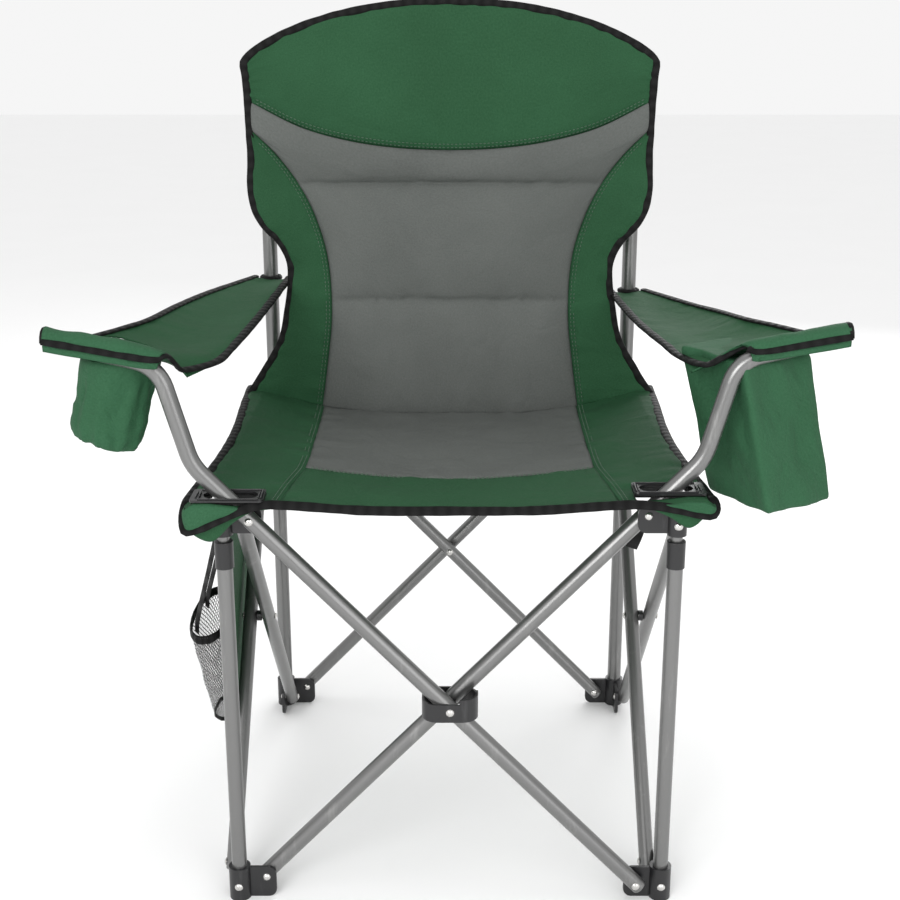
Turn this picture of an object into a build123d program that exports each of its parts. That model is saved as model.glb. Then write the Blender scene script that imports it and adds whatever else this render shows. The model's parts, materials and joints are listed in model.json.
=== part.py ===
# Folding camp chair: a four-sided scissor frame of round steel tube with a hung fabric seat and back.
# Units are millimetres. +Z is up, -Y is the front, and the floor is Z = 0.
import os
from math import atan2, cos, degrees, hypot, radians, sin

from build123d import *

os.makedirs("parts", exist_ok=True)

# Leg square and scissor geometry
post_spacing = 507.0  # between leg centres, the same along X and Y
y_shift = 4.75  # moves the leg square so that the whole chair is centred on the origin
rivet_reach = 32.0  # from a leg's centre to the scissor rivets beside it
foot_rivet_z = 26.0
hub_rivet_z = 488.0
plane_gap = 12.0  # each scissor tube's centre line stands this far either side of the leg plane

# Tubes
front_tube_r = 9.5
side_tube_r = 9.0
wall = 1.2
post_r = 9.0
post_top_z = 450.0
inner_post_r = 6.8
inner_post_bottom_z = 205.0
upright_r = 10.0
upright_top_z = 956.0
rivet_overhang = 9.5  # a scissor tube runs this far past its end rivet

# Fittings
socket_r = 13.0
socket_floor = 6.0
foot_socket_z = 42.0
foot_ear_z = 40.0
ear_half = 2.0
ear_end_r = 12.0
hub_socket_bottom_z = 466.0
hub_top_z = 500.0
post_rivet_z = 479.0
foot_post_rivet_z = 19.0
hub_socket_r = 11.0
slider_r = 14.5
blind_tail = 0.55  # a leg rivet is blind: its tail stands this share of the leg's radius from the centre
collar_r = 10.6
collar_bottom_z = 427.0
collar_top_z = 459.0
rivet_r = 2.5
rivet_head_r = 4.8
rivet_head_h = 2.3
fit = 0.05  # radial running clearance at a rivet
play = 0.35  # radial play of a sliding part
loop_width = 65.0
loop_wall = 2.6
loop_bottom_z = 245.0
loop_height = 22.0
loop_step = 6.0
loop_corner = 19.0

# Arm tube: the front scissor tubes carry on upwards, given as distance from the middle and height
arm_bend_low = (282.0, 551.0)
arm_bend_high = (312.7, 662.0)
arm_tip = (425.0, 689.0)
arm_bend_low_r = 60.0
arm_bend_high_r = 42.0

# Fabric
seat_half_width = 287.0
seat_front_y = -283.0
seat_rear_y = 236.0
seat_edge_z = 514.0
seat_sag = 24.0
seat_thickness = 8.0
back_bottom_z = 496.0
back_front_y = 188.0
back_top_y = 228.0
back_thickness = 10.0
back_top_z = 1037.0
arm_half_width = 432.0
armrest_thickness = 6.0
sleeve_r = 13.5

half = post_spacing / 2
span = post_spacing - 2 * rivet_reach
tube_length = hypot(hub_rivet_z - foot_rivet_z, span)
tube_angle = degrees(atan2(hub_rivet_z - foot_rivet_z, span))

# The four legs, in turn seen from above, with the direction from each to the next
legs = {
    "front_left": (-half, -half + y_shift, 0),
    "front_right": (half, -half + y_shift, 90),
    "rear_right": (half, half + y_shift, 180),
    "rear_left": (-half, half + y_shift, 270),
}
leg_names = list(legs)


def save(part, name):
    part.label = name
    export_step(part, f"parts/{name}.step")


def side_plane(leg, along=0.0, out=0.0, z=0.0):
    """Plane of the frame side that starts at a leg: local x runs to the next leg, y is up, z points out."""
    x, y, turn = legs[leg]
    c = cos(radians(turn))
    s = sin(radians(turn))
    origin = (x + along * c + out * s, y + along * s - out * c, z)
    return Plane(origin=origin, x_dir=(c, s, 0), z_dir=(s, -c, 0))


def last_leg(leg):
    return leg_names[leg_names.index(leg) - 1]


def rivet_place(leg, where, z, out=0.0):
    """Plane centred on a rivet of a leg's fitting, its z along the rivet and outwards."""
    if where == "next":
        return side_plane(leg, rivet_reach, out, z)
    if where == "last":
        return side_plane(last_leg(leg), post_spacing - rivet_reach, out, z)
    x, y, _ = legs[leg]
    toward = -1 if leg.startswith("front") else 1
    return Plane(origin=(x, y, z), x_dir=(-toward, 0, 0), z_dir=(0, toward, 0))


def cross_place(leg, out=0.0):
    """Plane centred on the middle of the scissor whose side starts at a leg."""
    return side_plane(leg, post_spacing / 2, out, (foot_rivet_z + hub_rivet_z) / 2)


def draw_rivet(low, high):
    """Half section of a round-headed rivet with its axis on local y, gripping from low to high."""
    dome_r = (rivet_head_r**2 + rivet_head_h**2) / (2 * rivet_head_h)
    mid_x = rivet_head_r / 2
    mid_h = (dome_r**2 - mid_x**2) ** 0.5 - dome_r + rivet_head_h
    with BuildLine() as outline:
        Polyline((rivet_head_r, low), (rivet_r, low), (rivet_r, high), (rivet_head_r, high))
        ThreePointArc((rivet_head_r, high), (mid_x, high + mid_h), (0, high + rivet_head_h))
        Line((0, high + rivet_head_h), (0, low - rivet_head_h))
        ThreePointArc((0, low - rivet_head_h), (mid_x, low - mid_h), (rivet_head_r, low))
    make_face(outline.edges())


def make_rivets(name, places):
    """One node of rivets, each given as a plane whose z is the rivet's axis, and its grip along that axis."""
    with BuildPart() as rivets:
        for place, low, high in places:
            with BuildSketch(Plane(origin=place.origin, x_dir=place.x_dir, z_dir=-place.y_dir)):
                draw_rivet(low, high)
            revolve(axis=Axis(place.origin, place.z_dir))
    save(rivets.part, name)


def cut_rivet_hole(place, depth=40.0, both=True):
    with BuildSketch(place) as hole:
        Circle(rivet_r + fit)
    extrude(hole.sketch, amount=depth, both=both, mode=Mode.SUBTRACT)


def draw_ear(direction, low_z, top_z):
    """Plate from a leg's centre to just past the rivet, with both free corners rounded."""
    far = direction * (rivet_reach + ear_end_r)
    with BuildLine() as outline:
        edge = FilletPolyline((0, low_z), (far, low_z), (far, top_z), (0, top_z), radius=ear_end_r * 0.85)
        Line(edge @ 1, edge @ 0)
    make_face(outline.edges())


def add_ears(leg, low_z, top_z):
    for place, direction in ((side_plane(leg), 1), (side_plane(last_leg(leg), post_spacing), -1)):
        with BuildSketch(place) as ear:
            draw_ear(direction, low_z, top_z)
        extrude(ear.sketch, amount=ear_half, both=True)


def make_foot(leg, leg_r):
    """Moulded foot: a socket for the leg, and an ear along each side of the frame for the scissor rivets."""
    x, y, _ = legs[leg]
    with BuildPart() as foot:
        add_ears(leg, 0.0, foot_ear_z)
        with BuildSketch(Plane(origin=(x, y, 0))):
            Circle(socket_r)
        extrude(amount=foot_socket_z)
        with BuildSketch(Plane(origin=(x, y, socket_floor))):
            Circle(leg_r + fit)
        extrude(amount=foot_socket_z, mode=Mode.SUBTRACT)
        cut_rivet_hole(rivet_place(leg, "next", foot_rivet_z))
        cut_rivet_hole(rivet_place(leg, "last", foot_rivet_z))
        cut_rivet_hole(rivet_place(leg, "post", foot_post_rivet_z), both=False)
    save(foot.part, f"{leg}_foot")


def make_hub(leg, name, ring_r, bore_r, bore_top_z, top_z):
    """Moulded bracket at seat height: a ring or socket on the leg, with the same two ears as the foot."""
    x, y, _ = legs[leg]
    with BuildPart() as hub:
        add_ears(leg, hub_socket_bottom_z + 2, hub_top_z)
        with BuildSketch(Plane(origin=(x, y, hub_socket_bottom_z))):
            Circle(ring_r)
        extrude(amount=top_z - hub_socket_bottom_z)
        with BuildSketch(Plane(origin=(x, y, hub_socket_bottom_z - 1))):
            Circle(bore_r)
        extrude(amount=bore_top_z - hub_socket_bottom_z + 1, mode=Mode.SUBTRACT)
        cut_rivet_hole(rivet_place(leg, "next", hub_rivet_z))
        cut_rivet_hole(rivet_place(leg, "last", hub_rivet_z))
        if ring_r < slider_r:
            cut_rivet_hole(rivet_place(leg, "post", post_rivet_z), both=False)
    save(hub.part, name)


def make_leg_tube(name, leg, r, low_z, high_z, rivet_z=None):
    x, y, _ = legs[leg]
    with BuildPart() as tube:
        with BuildSketch(Plane(origin=(x, y, low_z))):
            Circle(r)
            Circle(r - wall, mode=Mode.SUBTRACT)
        extrude(amount=high_z - low_z)
        if rivet_z:
            cut_rivet_hole(rivet_place(leg, "post", rivet_z), both=False)
    save(tube.part, name)


def make_scissor_tube(name, leg, out, r, start_z):
    """Straight scissor tube on one side of the frame, starting at height start_z at that side's first leg."""
    rise = 1 if start_z == foot_rivet_z else -1
    side = side_plane(leg, rivet_reach, out, start_z)
    lean = radians(tube_angle * rise)
    way = side.x_dir * cos(lean) + side.y_dir * sin(lean)
    begin = side.origin - way * rivet_overhang
    length = tube_length + 2 * rivet_overhang
    end = begin + way * length
    closed = begin if rise == 1 else end  # the foot end is pressed shut
    inward = way if rise == 1 else way * -1
    with BuildPart() as tube:
        with BuildSketch(Plane(origin=closed, x_dir=side.z_dir, z_dir=inward)):
            Circle(r)
        extrude(amount=length)
        fillet(tube.faces().sort_by(Axis(closed, inward))[0].edges(), 2.5)
        with BuildSketch(Plane(origin=closed + inward * 3, x_dir=side.z_dir, z_dir=inward)):
            Circle(r - wall)
        extrude(amount=length, mode=Mode.SUBTRACT)
        for along in (rivet_overhang, length / 2, length - rivet_overhang):
            cut_rivet_hole(Plane(origin=begin + way * along, x_dir=side.x_dir, z_dir=side.z_dir), r + 1)
    save(tube.part, name)


# Legs. The front ones telescope, and the rear ones are single uprights that carry the back.
for leg in leg_names:
    make_foot(leg, post_r if leg.startswith("front") else upright_r)

for leg in ("front_left", "front_right"):
    x, y, _ = legs[leg]
    make_leg_tube(f"{leg}_lower_post", leg, post_r, socket_floor, post_top_z, foot_post_rivet_z)
    make_leg_tube(f"{leg}_inner_post", leg, inner_post_r, inner_post_bottom_z, hub_top_z - 4, post_rivet_z)
    make_hub(leg, f"{leg}_hub", hub_socket_r, inner_post_r + fit, hub_top_z - 4, hub_top_z)
    with BuildPart() as collar:
        with BuildSketch(Plane(origin=(x, y, collar_bottom_z))):
            Circle(collar_r)
        extrude(amount=collar_top_z - collar_bottom_z)
        fillet(collar.edges().group_by(Axis.Z)[-1], 1.2)
        with BuildSketch(Plane(origin=(x, y, collar_bottom_z - 1))):
            Circle(post_r + fit)
        extrude(amount=post_top_z - collar_bottom_z + 1, mode=Mode.SUBTRACT)
        with BuildSketch(Plane(origin=(x, y, collar_bottom_z))):
            Circle(inner_post_r + play)
        extrude(amount=collar_top_z, mode=Mode.SUBTRACT)
    save(collar.part, f"{leg}_collar")

for leg in ("rear_left", "rear_right"):
    x, y, _ = legs[leg]
    make_leg_tube(f"{leg}_upright", leg, upright_r, socket_floor, upright_top_z, foot_post_rivet_z)
    make_hub(leg, f"{leg}_slider", slider_r, upright_r + play, hub_top_z + 1, hub_top_z)
    with BuildPart() as cap:
        with BuildSketch(Plane(origin=(x, y, upright_top_z - 14))):
            Circle(upright_r - wall - fit)
        extrude(amount=14)
        with BuildSketch(Plane(origin=(x, y, upright_top_z))):
            Circle(upright_r)
        extrude(amount=3)
        fillet(cap.edges().group_by(Axis.Z)[-1], 1.5)
    save(cap.part, f"{leg}_upright_cap")

# Scissor tubes of the rear and the two sides: the outer one runs down to the next leg, the inner one up to it
for leg, side_name in (("front_right", "right"), ("rear_right", "rear"), ("rear_left", "left")):
    make_scissor_tube(f"{side_name}_outer_tube", leg, plane_gap, side_tube_r, hub_rivet_z)
    make_scissor_tube(f"{side_name}_inner_tube", leg, -plane_gap, side_tube_r, foot_rivet_z)


# Front scissor tubes, each running on upwards through the seat corner and out into an armrest
def draw_arm_path(hand, out, trim_low=0.0, longer=0.0):
    """Centre line of a front tube from foot to arm tip. hand is -1 for the left arm, 1 for the right."""
    tip_x = arm_tip[0] + longer
    tip_z = arm_tip[1] + longer * (arm_tip[1] - arm_bend_high[1]) / (arm_tip[0] - arm_bend_high[0])
    y = -half + y_shift - out
    hub_x = half - rivet_reach
    lean = radians(tube_angle)
    low_x = -hub_x - (rivet_overhang - trim_low) * cos(lean)
    low_z = foot_rivet_z - (rivet_overhang - trim_low) * sin(lean)
    run = [(low_x, low_z), arm_bend_low, arm_bend_high, (tip_x, tip_z)]
    points = [(hand * x, y, z) for x, z in run]
    FilletPolyline(*points, radius=[arm_bend_low_r, arm_bend_high_r])


def sweep_round(path, r, mode=Mode.ADD):
    with BuildSketch(Plane(origin=path @ 0, x_dir=(0, 1, 0), z_dir=path % 0)) as section:
        Circle(r)
    sweep(section.sketch, path=path, mode=mode)


for hand, name, out, foot_leg, hub_leg in (
    (-1, "left", plane_gap, "front_right", "front_left"),
    (1, "right", -plane_gap, "front_left", "front_right"),
):
    foot_where = "last" if hand < 0 else "next"
    hub_where = "next" if hand < 0 else "last"
    with BuildPart() as arm_tube:
        with BuildLine() as outside:
            draw_arm_path(hand, out)
        sweep_round(outside.line, front_tube_r)
        with BuildLine() as inside:
            draw_arm_path(hand, out, 3.0)
        sweep_round(inside.line, front_tube_r - wall, Mode.SUBTRACT)
        fillet(arm_tube.faces().sort_by(Axis.Z)[0].edges(), 2.5)
        cut_rivet_hole(rivet_place(foot_leg, foot_where, foot_rivet_z, out), front_tube_r + 1)
        cut_rivet_hole(rivet_place(hub_leg, hub_where, hub_rivet_z, out), front_tube_r + 1)
        cut_rivet_hole(cross_place("front_left", out), front_tube_r + 1)
    save(arm_tube.part, f"{name}_arm_tube")

    tip = outside.line @ 1
    tip_way = outside.line % 1
    with BuildPart() as arm_cap:
        with BuildSketch(Plane(origin=tip - tip_way * 12, x_dir=(0, 1, 0), z_dir=tip_way)):
            Circle(front_tube_r - wall - fit)
        extrude(amount=12)
        with BuildSketch(Plane(origin=tip, x_dir=(0, 1, 0), z_dir=tip_way)):
            Circle(front_tube_r)
        extrude(amount=3)
    save(arm_cap.part, f"{name}_arm_cap")

# Front crossing: a flat moulded loop round both tubes, lower where the outer tube leaves it
front_y = -half + y_shift
loop_depth = 2 * (plane_gap + front_tube_r + 0.6 + loop_wall)
loop_hollow = (loop_width - 2 * loop_wall, loop_depth - 2 * loop_wall)
with BuildPart() as cross_loop:
    with BuildSketch(Plane(origin=(0, front_y, loop_bottom_z))):
        RectangleRounded(loop_width, loop_depth, loop_corner)
        RectangleRounded(*loop_hollow, loop_corner - loop_wall, mode=Mode.SUBTRACT)
    extrude(amount=loop_height)
    with BuildSketch(Plane(origin=(0, front_y, loop_bottom_z))):
        RectangleRounded(loop_width, loop_depth, loop_corner)
        RectangleRounded(*loop_hollow, loop_corner - loop_wall, mode=Mode.SUBTRACT)
        with Locations((-loop_width / 2, 0)):
            Rectangle(loop_width + 22, 2 * loop_depth, mode=Mode.SUBTRACT)
        with Locations((0, loop_depth / 2 + 2)):
            Rectangle(2 * loop_width, loop_depth, mode=Mode.SUBTRACT)
    extrude(amount=loop_height + loop_step)
    cut_rivet_hole(cross_place("front_left"))
save(cross_loop.part, "front_cross_loop")

# A spacer washer between the two tubes at each crossing
for leg, side_name in zip(leg_names, ("front", "right", "rear", "left")):
    tube_r = front_tube_r if leg == "front_left" else side_tube_r
    space = plane_gap - tube_r - 0.15
    with BuildPart() as spacer:
        with BuildSketch(cross_place(leg)):
            Circle(7.0)
            Circle(rivet_r + fit, mode=Mode.SUBTRACT)
        extrude(amount=space, both=True)
    save(spacer.part, f"{side_name}_cross_spacer")
    grip = plane_gap + tube_r + 0.2
    if leg == "front_left":
        grip = loop_depth / 2 + 0.1
    make_rivets(f"{side_name}_cross_rivet", [(cross_place(leg), -grip, grip)])

# Rivets of each foot, hub and slider. Outside each ear lies the outer tube, or inside it the inner one.
for leg in leg_names:
    near_r = front_tube_r if leg == "front_left" else side_tube_r
    far_r = front_tube_r if leg == "front_right" else side_tube_r
    ear_grip = ear_half + 0.1
    foot_set = [
        (rivet_place(leg, "next", foot_rivet_z), -plane_gap - near_r - 0.2, ear_grip),
        (rivet_place(leg, "last", foot_rivet_z), -ear_grip, plane_gap + far_r + 0.2),
        (rivet_place(leg, "post", foot_post_rivet_z), blind_tail * post_r, socket_r + 0.1),
    ]
    make_rivets(f"{leg}_foot_rivets", foot_set)
    hub_set = [
        (rivet_place(leg, "next", hub_rivet_z), -ear_grip, plane_gap + near_r + 0.2),
        (rivet_place(leg, "last", hub_rivet_z), -plane_gap - far_r - 0.2, ear_grip),
    ]
    if leg.startswith("front"):
        post_grip = (blind_tail * inner_post_r * 0.7, hub_socket_r + 0.1)
        hub_set.append((rivet_place(leg, "post", post_rivet_z), *post_grip))
        make_rivets(f"{leg}_hub_rivets", hub_set)
    else:
        make_rivets(f"{leg}_slider_rivets", hub_set)

# Seat: a sling whose middle hangs between its two sides, with a slot for each arm tube
slot_x = 241.0  # the slot reaches in far enough for the arm tube to swing upright as the frame folds
slot_length = 60.0
slot_width = 25.0
plate_length = 80.0
plate_width = 42.0
plate_x = 244.0
seat_seam_y = 186.0
seat_seam_half = 218.0
with BuildPart() as seat:
    with BuildSketch(Plane(origin=(0, y_shift + seat_front_y, 0), x_dir=(1, 0, 0), z_dir=(0, -1, 0))):
        with BuildLine():
            trough = [(-1.0, 0.0), (-0.76, -2.0), (-0.42, -seat_sag)]
            trough += [(-share, drop) for share, drop in reversed(trough)]
            top = [(share * seat_half_width, seat_edge_z + drop) for share, drop in trough]
            under = [(px, pz - seat_thickness) for px, pz in reversed(top)]
            Polyline(*top, *under, close=True)
        make_face()
    extrude(amount=-(seat_rear_y - seat_front_y))
    with BuildSketch(Plane(origin=(0, y_shift, seat_edge_z - 60))):
        with BuildLine():
            front_edge = ThreePointArc(
                (-seat_half_width, seat_front_y),
                (0, seat_front_y + 6),
                (seat_half_width, seat_front_y),
            )
            Polyline(
                front_edge @ 1,
                (seat_half_width - 12, 0),
                (seat_half_width, seat_rear_y),
                (seat_seam_half, seat_rear_y),
                (seat_seam_half, seat_seam_y),
                (-seat_seam_half, seat_seam_y),
                (-seat_seam_half, seat_rear_y),
                (-seat_half_width, seat_rear_y),
                (-seat_half_width + 12, 0),
                front_edge @ 0,
            )
        make_face()
    extrude(amount=80, mode=Mode.INTERSECT)
    for hand, out in ((-1, plane_gap), (1, -plane_gap)):
        with BuildSketch(Plane(origin=(hand * slot_x, front_y - out, seat_edge_z - 60))):
            SlotOverall(slot_length, slot_width)
        extrude(amount=80, mode=Mode.SUBTRACT)
save(seat.part, "seat_panel")

# Reinforcement plates on the seat corners, fixed over the hubs, each with a slot for its arm tube to swing in
for hand, name, out in ((-1, "left", plane_gap), (1, "right", -plane_gap)):
    with BuildPart() as grommet:
        with BuildSketch(Plane(origin=(0, front_y - out, seat_edge_z + 0.6))):
            with Locations((hand * plate_x, 0)):
                RectangleRounded(plate_length, plate_width, 5)
            with Locations((hand * slot_x, 0)):
                SlotOverall(slot_length, slot_width, mode=Mode.SUBTRACT)
        extrude(amount=2.2)
    save(grommet.part, f"{name}_corner_plate")

# Back: a leaning padded panel with a closed pocket over the top of each upright
back_side = [(216, 519), (262, 524), (272, 536), (238, 590), (219, 650), (234, 716)]
back_side += [(268, 760), (277, 800), (279, 960)]
pocket_r = 14.0
pocket_bottom_z = 900.0
with BuildPart() as back:
    back_base = (0, back_front_y + y_shift, back_bottom_z)
    with BuildSketch(Plane(origin=back_base, x_dir=(1, 0, 0), z_dir=(0, -1, 0))):
        with BuildLine():
            right = Spline(*[(px, pz - back_bottom_z) for px, pz in back_side])
            crown = ThreePointArc(right @ 1, (0, back_top_z - back_bottom_z), (-(right @ 1).X, (right @ 1).Y))
            left = Spline(*[(-px, pz - back_bottom_z) for px, pz in reversed(back_side)])
            Polyline(left @ 1, (-130, 2), (130, 2), right @ 0)
        make_face()
    extrude(amount=-(back_top_y - back_front_y + 2 * back_thickness))
    with BuildSketch(Plane(origin=(-seat_half_width - 20, y_shift, 0), x_dir=(0, 1, 0), z_dir=(1, 0, 0))):
        with BuildLine():
            Polyline(
                (back_front_y, back_bottom_z),
                (back_front_y + back_thickness, back_bottom_z),
                (back_top_y + back_thickness, back_top_z),
                (back_top_y, back_top_z),
                close=True,
            )
        make_face()
    extrude(amount=2 * seat_half_width + 40, mode=Mode.INTERSECT)
    for leg in ("rear_left", "rear_right"):
        x, y, _ = legs[leg]
        with BuildSketch(Plane(origin=(x, y, pocket_bottom_z))):
            Circle(pocket_r)
            with Locations((0, -pocket_r - 3)):
                Rectangle(2 * pocket_r, 2 * pocket_r)
        extrude(amount=upright_top_z + 8 - pocket_bottom_z)
        with BuildSketch(Plane(origin=(x, y, pocket_bottom_z - 200))):
            Circle(upright_r + 0.4)
        extrude(amount=upright_top_z + 3.5 - pocket_bottom_z + 200, mode=Mode.SUBTRACT)
save(back.part, "back_panel")

# Armrests: a cloth strip from a sleeve on the arm tube back to the upright, wide in front and narrow behind
arm_outer = [(arm_half_width, -25), (arm_half_width - 4, 4), (394, 38), (354, 154), (322, 350), (272, 488)]
arm_inner = [(226, 488), (246, 334), (268, 74), (290, 4), (296, -25)]
armrest_top = [(-300, 674), (-225, 668), (0, 660)]
armrest_rear = {"left": (236, 662), "right": (236, 643)}
sleeve_inner_x = 297.0
sleeve_tip_z = 691.0
sleeve_inner_z = 667.0
cup_x = 357.0
cup_y = front_y + 38
cup_r = 44.0
cup_top_z = 658.0
cup_bottom_z = 549.0
cup_lean = 20.0
cloth_wall = 2.4
for hand, name, out in ((-1, "left", plane_gap), (1, "right", -plane_gap)):
    sleeve_y = front_y - out
    with BuildPart() as armrest:
        with BuildSketch(Plane(origin=(0, sleeve_y + plane_gap, cup_top_z - 20))):
            with BuildLine():
                Polyline(*[(hand * px, py) for px, py in arm_outer + arm_inner], close=True)
            make_face()
        extrude(amount=60)
        with BuildSketch(Plane(origin=(-arm_half_width - 10, y_shift, 0), x_dir=(0, 1, 0), z_dir=(1, 0, 0))):
            with BuildLine():
                upper = armrest_top + [armrest_rear[name]]
                under = [(py, pz - armrest_thickness) for py, pz in reversed(upper)]
                Polyline(*upper, *under, close=True)
            make_face()
        extrude(amount=2 * arm_half_width + 20, mode=Mode.INTERSECT)
        with BuildSketch(Plane(origin=(0, sleeve_y + sleeve_r, 0), x_dir=(1, 0, 0), z_dir=(0, -1, 0))):
            with BuildLine():
                Polyline(
                    (hand * sleeve_inner_x, sleeve_inner_z - sleeve_r),
                    (hand * arm_half_width, sleeve_tip_z - sleeve_r),
                    (hand * arm_half_width, sleeve_tip_z + sleeve_r),
                    (hand * sleeve_inner_x, sleeve_inner_z + sleeve_r),
                    close=True,
                )
            make_face()
        extrude(amount=2 * sleeve_r)
        with BuildLine() as cavity:
            draw_arm_path(hand, out, 0.0, 4.0)
        sweep_round(cavity.line, front_tube_r + 0.6, Mode.SUBTRACT)
        if hand < 0:
            with BuildSketch(Plane(origin=(-cup_x + 10, cup_y + 3, cup_top_z - 20))):
                Circle(cup_r - 12)
            extrude(amount=60, mode=Mode.SUBTRACT)
    save(armrest.part, f"{name}_armrest")

# Cup holder: a round cloth cup hung under the left armrest, leaning outwards towards its floor
with BuildPart() as cup:
    cup_hollow = (cup_r - cloth_wall, cup_bottom_z + 3, Mode.SUBTRACT)
    for r, low_z, mode in ((cup_r, cup_bottom_z, Mode.ADD), cup_hollow):
        low_share = (cup_top_z - low_z) / (cup_top_z - cup_bottom_z)
        with BuildSketch(Plane(origin=(-cup_x - cup_lean * low_share, cup_y, low_z))):
            Circle(r)
        with BuildSketch(Plane(origin=(-cup_x, cup_y, cup_top_z))):
            Circle(r)
        loft(mode=mode)
save(cup.part, "cup_holder")

# Cooler bag: a soft four-sided bag under the right armrest, turned outwards, zipped shut
cooler_corners = [(358, 4), (428, 60), (374, 158), (296, 98)]
cooler_lean = 28.0  # the bag's top sits this much nearer to the seat than its floor
cooler_bottom_z = 489.0
cooler_top_z = 651.0
with BuildPart() as cooler:
    for inward, z in ((0.0, cooler_bottom_z), (cooler_lean, cooler_top_z)):
        with BuildSketch(Plane(origin=(-inward, front_y, z))) as cooler_plan:
            with BuildLine():
                Polyline(*cooler_corners, close=True)
            make_face()
            fillet(cooler_plan.vertices(), 12)
    loft()
    fillet(cooler.edges().group_by(Axis.Z)[0], 6)
save(cooler.part, "cooler_bag")

# Side organiser: a flat cloth panel hung below the left seat edge, with a mesh pouch outside it
panel_x = -279.5
panel_outline = [(134, 498), (400, 498), (400, 215), (340, 150), (170, 150), (134, 200)]
panel_thickness = 2.0
with BuildPart() as organiser:
    with BuildSketch(Plane(origin=(panel_x, front_y, 0), x_dir=(0, 1, 0), z_dir=(1, 0, 0))):
        with BuildLine():
            Polyline(*panel_outline, close=True)
        make_face()
    extrude(amount=-panel_thickness)
save(organiser.part, "organiser_panel")

pouch_inner_x = -282.5
pouch_rim = (50.0, 165.0, 286.0)
pouch_floor = (24.0, 64.0, 140.0)
pouch_y = front_y + 197
with BuildPart() as pouch:
    for shrink, mode in ((0.0, Mode.ADD), (cloth_wall, Mode.SUBTRACT)):
        for depth, width, z in (pouch_floor, pouch_rim):
            lift = shrink if z == pouch_floor[2] else 0
            with BuildSketch(Plane(origin=(pouch_inner_x - depth / 2, pouch_y, z + lift))):
                Rectangle(depth - 2 * shrink, width - 2 * shrink)
        loft(mode=mode)
save(pouch.part, "mesh_pouch")

strap_thickness = 1.6
strap_width = 12.0
with BuildPart() as organiser_straps:
    for along in (pouch_y - 70, pouch_y + 70):
        with BuildSketch(Plane(origin=(0, along + strap_width / 2, 0), x_dir=(1, 0, 0), z_dir=(0, -1, 0))):
            with BuildLine():
                Polyline(
                    (-283, 440),
                    (-283 - strap_thickness, 440),
                    (-332, 290),
                    (-332, 287),
                    (-330, 287),
                    close=True,
                )
            make_face()
        extrude(amount=strap_width)
save(organiser_straps.part, "organiser_straps")

# Rings of webbing that tie each armrest's rear end round its upright. The sliders push them up on folding.
ring_bottom_z = {"left": 649.0, "right": 630.0}
ring_height = 12.0
ring_r = upright_r + 3.4
for leg, name in (("rear_left", "left"), ("rear_right", "right")):
    x, y, _ = legs[leg]
    with BuildPart() as ring:
        with BuildSketch(Plane(origin=(x, y, ring_bottom_z[name]))):
            Circle(ring_r)
            Circle(upright_r + play, mode=Mode.SUBTRACT)
        extrude(amount=ring_height)
    save(ring.part, f"{name}_armrest_ring")

# Short webbing strap that hangs inside the right front hub
with BuildPart() as tie_strap:
    with BuildSketch(Plane(origin=(0, front_y + 52, 0), x_dir=(1, 0, 0), z_dir=(0, -1, 0))):
        with BuildLine():
            Polyline((214, 487), (230, 487), (228, 455), (216, 428), (206, 432), (213, 458), close=True)
        make_face()
    extrude(amount=strap_thickness)
save(tie_strap.part, "tie_strap")
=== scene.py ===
import json
from math import cos, exp, pi, radians, sin

import bmesh
import bpy
from mathutils import Matrix, Vector, noise


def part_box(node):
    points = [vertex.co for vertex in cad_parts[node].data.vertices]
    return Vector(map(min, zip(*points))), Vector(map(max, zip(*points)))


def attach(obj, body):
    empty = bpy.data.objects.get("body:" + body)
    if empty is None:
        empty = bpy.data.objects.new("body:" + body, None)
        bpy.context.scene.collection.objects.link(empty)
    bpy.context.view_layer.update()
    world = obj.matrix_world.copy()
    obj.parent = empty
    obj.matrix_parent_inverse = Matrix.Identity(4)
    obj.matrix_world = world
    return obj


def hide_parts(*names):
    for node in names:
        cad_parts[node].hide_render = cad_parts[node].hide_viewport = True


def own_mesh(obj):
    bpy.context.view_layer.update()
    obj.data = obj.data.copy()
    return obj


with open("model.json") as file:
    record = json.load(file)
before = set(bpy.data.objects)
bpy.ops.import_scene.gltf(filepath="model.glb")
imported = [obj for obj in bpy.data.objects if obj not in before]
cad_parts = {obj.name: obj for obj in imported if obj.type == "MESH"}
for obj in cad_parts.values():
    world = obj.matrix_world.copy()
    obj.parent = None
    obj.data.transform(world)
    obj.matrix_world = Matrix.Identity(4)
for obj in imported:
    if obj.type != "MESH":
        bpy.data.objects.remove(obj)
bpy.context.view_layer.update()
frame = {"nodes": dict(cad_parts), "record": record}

print("frame loaded")


# Camera, floor and lights
view = {"place": (0, -1.738, 1.02), "tilt": 73, "lens": 56.76}
cameraData = bpy.data.cameras.new("camera")
cameraData.lens = view["lens"]
camera = bpy.data.objects.new("camera", cameraData)
camera.location = view["place"]
camera.rotation_euler = (radians(view["tilt"]), 0, 0)
bpy.context.scene.collection.objects.link(camera)
bpy.context.scene.camera = camera
bpy.context.scene.view_settings.view_transform = "Standard"

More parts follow.
